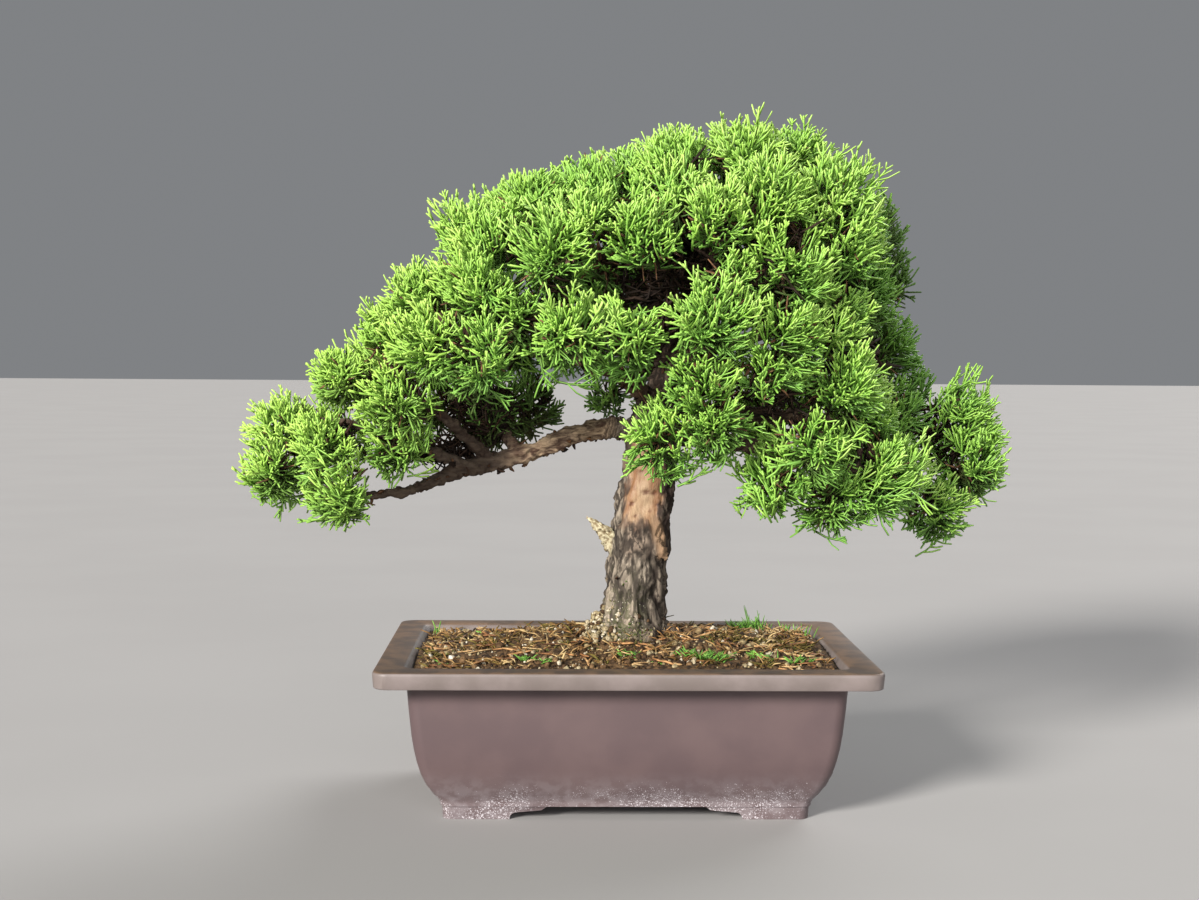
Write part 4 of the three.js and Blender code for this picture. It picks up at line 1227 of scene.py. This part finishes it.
def makeFoliage(name, tufts, tips, material):
    parts = []
    shortName = name[len("spray_"):]
    # painted shade for the sprays turned from the light
    trimmed, paintedLitShare = foliage["shorter"].get(shortName, 1.0), foliage["paintedShade"].get(shortName, 1.0)
    spray = tuftOwners == name
    middles = np.array([centre for centre, _ in tufts])
    nearest = np.linalg.norm(tips[:, None] - middles, axis=2).argmin(axis=1)
    for k, (centre, radius) in enumerate(tufts):
        own = spray & (np.linalg.norm(tuftCentres - centre, axis=1) > 0.01)
        directions = openDirections(centre, radius, own, ~spray)
        reach = surfaceReach(centre, radius, directions, spray)
        reach = reach * rng.uniform(*foliage["reach"], len(directions))
        reach *= rng.uniform(*foliage["vigour"]) * trimmed
        shown = ~inHollow(centre + directions * (radius * reach)[:, None])
        parts.append(growShoots(centre, radius, directions[shown], reach[shown], paintedLitShare))
        aims = tips[nearest == k] - centre
        if len(aims):  # the longest shoots follow the CAD's own
            spans = np.linalg.norm(aims, axis=1)
            parts.append(growShoots(centre, radius, unit(aims), spans / radius * 0.96 * trimmed, paintedLitShare))
        parts.append(growTwigs(centre, radius))
    points, triangles, age, tone, woody = merged(parts)
    makePiece("foliage_" + shortName, points, triangles, material, "foliage", [name],
              age=age, tone=tone, woody=woody)
    return len(triangles)


def foliageMaterial():
    material, tree, place = newMaterial("juniper foliage", 0.5, 0.4)
    age = layer(tree, "age")
    growth = ramp(tree, age, foliage["tones"])
    cool = mix(tree, 0.3, growth, foliage["coolTint"])
    cooler = times(tree, calc(tree, "ADD", patches(tree, place, 46.0), layer(tree, "tone")), 0.32)
    leaf = mix(tree, cooler, growth, cool)
    # painted light: the left end, which faces the light, is paler and yellower
    paintedLight = spread(tree, alongAxis(tree, place, "X"), *foliage["paintedLightFrom"], 0.0, foliage["paintedLight"])
    leaf = overlay(tree, leaf, paintedLight, age, foliage["paintedLightTint"])
    twig = blotches(tree, place, 3.0, (124, 88, 60), (66, 44, 32))
    leaf = mix(tree, layer(tree, "woody"), leaf, twig)
    return finish(material, leaf, place, (0.9, 0.35, 0.18), spread(tree, age, 0.0, 0.5, 0.9, 0.5))


innerTwigs = {
    "long": 560, "longSpan": (14, 62), "longRadius": (0.45, 0.95),
    "thicket": 1300,          # short ones behind the middle of each tuft
    "radius": (0.7, 1.2),
    # masses of twigs in only the darker tones, painted shade under the left pads and inside the crown:
    # middle, half sizes, half length, number
    "masses": [(-84, 8, 226, 22, 22, 18, 5, 400), (-104, -8, 204, 28, 13, 9, 5, 220),
               (22, 22, 322, 78, 50, 26, 10, 330), (-66, 34, 276, 34, 36, 16, 9, 110),
               (108, 26, 292, 30, 36, 36, 9, 130), (10, 20, 262, 50, 46, 14, 9, 110),
               (130, -8, 250, 24, 34, 26, 8, 150), (14, -34, 280, 30, 26, 12, 8, 60),
               (188, 22, 212, 9, 18, 22, 7, 60), (56, -8, 241, 26, 18, 12, 7, 55),
               (22, -30, 302, 16, 20, 10, 7, 45)],
    "massRadius": (0.9, 1.5),
    "behind": 0.2,            # twigs at the back of a dark pocket, in the darkest tones as painted shade, for each square millimetre
    "behindLength": (5, 10), "behindRadius": (0.6, 1.1),
    "roughness": 0.8, "specular": 0.25, "skin": (1.0, 0.5, 0.2),
    "tones": [(0.0, (34, 24, 17)), (0.4, (70, 48, 34)), (1.0, (128, 92, 64))],
    "worn": (3.0, (255, 255, 255), (170, 160, 150), 0.8),
}


# Short bent twigs: their middles, half of each as a line, how far they stray, their radii and palest tone.
def shortTwigs(middle, way, stray, radius, palest, girth=1, size=1, taper=(0.8, 1, 0.6)):
    count = len(middle)
    lines = np.stack([middle - way, middle + rng.normal(0, stray, (count, 3)) * size, middle + way], axis=1)
    points, triangles = tubes(lines, np.outer(girth * rng.uniform(*radius, count), taper))
    return [points, triangles, perRod(rng.uniform(0, palest, count), 3)]


# Twigs that close a dark pocket from behind, kept to the darkest tones: painted shade.
def behindHollow(x, y, z, wide, deep, tall):
    count = int(innerTwigs["behind"] * wide * tall)
    middle = np.array([x, y + deep, z]) + rng.uniform(-0.8, 0.8, (count, 3)) * [wide, 22, tall]
    way = unit(rng.normal(0, 1, (count, 3)) * [1, 0.4, 0.6])
    way *= rng.uniform(*innerTwigs["behindLength"], (count, 1))
    return shortTwigs(middle, way, 1.5, innerTwigs["behindRadius"], 0.2)


# A mass of twigs kept to the darker tones: painted shade under the pads and inside the crown.
def twigMass(x, y, z, wide, deep, tall, half, count):
    ball = unit(rng.normal(0, 1, (count, 3))) * rng.random((count, 1)) ** 0.5
    middle = np.array([x, y, z]) + ball * [wide, deep, tall]
    way = unit(rng.normal(0, 1, (count, 3)) + [-0.6, 0, 0.3]) * half * rng.uniform(0.6, 1.5, (count, 1))
    girth = 0.1 * (half + 1)
    return shortTwigs(middle, way, 0.8, innerTwigs["massRadius"], 0.3, girth, taper=(0.9, 1, 0.6))


def thicketTwigs(count):
    which = rng.integers(0, len(tuftCentres), count)
    size = tuftRadii[which][:, None]
    inward = unit(tuftCentres[which] - crownMiddle) * -0.3
    ball = unit(rng.normal(0, 1, (count, 3))) * rng.random((count, 1)) ** 0.4 * 0.5
    way = unit(rng.normal(0, 1, (count, 3))) * size * rng.uniform(0.2, 0.36, (count, 1))
    middle = tuftCentres[which] + (ball + inward) * size
    return shortTwigs(middle, way, 0.06, innerTwigs["radius"], 0.3, size=size)


# Old bare twigs from the limbs out towards the tufts.
def longTwigs(count):
    limbs = readPoints(branches.data)
    start = limbs[rng.integers(0, len(limbs), count * 3)]
    aims = tuftCentres[rng.integers(0, len(tuftCentres), count * 3)]
    span = np.linalg.norm(aims - start, axis=1)
    shortest, longest = innerTwigs["longSpan"]
    near = (span > shortest) & (span < longest)
    start, aims, span = start[near][:count], aims[near][:count], span[near][:count]
    count = len(start)
    bow = rng.normal(0, 0.09, (count, 3)) * span[:, None]
    shares = (0, 0.35, 0.68, 0.96)
    lines = np.stack([start + (aims - start) * s + bow * 4 * s * (1 - s) for s in shares], axis=1)
    radii = np.outer(rng.uniform(*innerTwigs["longRadius"], count), [1, 0.85, 0.65, 0.4])
    points, triangles = tubes(lines, radii)
    return [points, triangles, perRod(rng.random(count), 4)]


def makeInnerTwigs(material):
    parts = [longTwigs(innerTwigs["long"]), thicketTwigs(innerTwigs["thicket"])]
    parts += [twigMass(*mass) for mass in innerTwigs["masses"]]
    parts += [behindHollow(*hollow) for hollow in foliage["hollows"]]
    points, triangles, tone = merged(parts)
    return makePiece("inner_twigs", points, triangles, material, "bark", tone=tone)


bareTwig = tonedMaterial("bare twigs", innerTwigs)
makeInnerTwigs(bareTwig)
makeFlakes(bareTwig)
needles = foliageMaterial()
total = 0
for name, (tufts, tips) in sprays.items():
    total += makeFoliage(name, tufts, tips, needles)
print("foliage made:", total, "triangles")

studio = {
    "floor": [(158, 156, 155), (156, 154, 153)], "patchSize": 300.0, "floorSize": 40.0,
    "world": (0.86, 0.89, 0.93, 1.0), "worldStrength": 0.25,
    # where each light comes from in millimetres, its angle in radians, strength and colour
    "lights": {
        "key_left": ((-2200, -2900, 1600), 0.26, 7.1, (1.0, 0.97, 0.92)),
        "fill_front": ((300, -1500, 500), 0.7, 1.55, (0.96, 0.98, 1.0)),
        "top_back": ((950, 1300, 1400), 0.6, 2.1, (1.0, 1.0, 1.0)),
    },
    "aim": (0, 0, 200),
}
view = {"place": (-41.57, -1090.9, 258.39), "turn": 0.0245, "tilt": 0.0491, "roll": 0.0069, "lens": 55.35}


def makeFloor():
    mesh = bmesh.new()
    bmesh.ops.create_grid(mesh, x_segments=8, y_segments=8, size=studio["floorSize"] / 2)
    floor = newObject("floor", mesh)
    material, tree, place = newMaterial("pale floor", 0.85, 0.15)
    setMaterial(floor, finish(material, blotches(tree, place, studio["patchSize"], *studio["floor"])))
    floor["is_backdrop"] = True


def makeLights():
    for name, (place, angle, strength, tint) in studio["lights"].items():
        light = bpy.data.lights.new(name, "SUN")
        light.angle, light.energy, light.color = angle, strength, tint
        lamp = bpy.data.objects.new(name, light)
        lamp.location = toFrame(place)
        aim = Vector(toFrame(studio["aim"])) - lamp.location
        lamp.rotation_euler = aim.to_track_quat("-Z", "Y").to_euler()
        bpy.context.scene.collection.objects.link(lamp)
    world = bpy.data.worlds.new("studio")
    world.use_nodes = True
    background = world.node_tree.nodes["Background"]
    background.inputs["Color"].default_value = studio["world"]
    background.inputs["Strength"].default_value = studio["worldStrength"]
    bpy.context.scene.world = world


def makeCamera():
    turn, tilt, roll = view["turn"], view["tilt"], view["roll"]
    ahead = Vector((math.sin(turn) * math.cos(tilt), math.cos(turn) * math.cos(tilt), -math.sin(tilt)))
    level = Vector((math.cos(turn), -math.sin(turn), 0))
    upright = level.cross(ahead)
    right = level * math.cos(roll) + upright * math.sin(roll)
    up = upright * math.cos(roll) - level * math.sin(roll)
    lens = bpy.data.cameras.new("camera")
    lens.lens, lens.sensor_width, lens.sensor_fit = view["lens"], 36, "HORIZONTAL"
    camera = bpy.data.objects.new("camera", lens)
    turned = Matrix((right, up, -ahead)).transposed().to_4x4()
    camera.matrix_world = Matrix.Translation(Vector(toFrame(view["place"]))) @ turned
    bpy.context.scene.collection.objects.link(camera)
    bpy.context.scene.camera = camera


makeFloor()
makeLights()
makeCamera()
bpy.context.scene.view_settings.view_transform = "Standard"
print("studio made")

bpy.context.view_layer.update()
shown = sum(len(o.data.loop_triangles) or len(o.data.polygons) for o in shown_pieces())
print("visible faces:", shown)
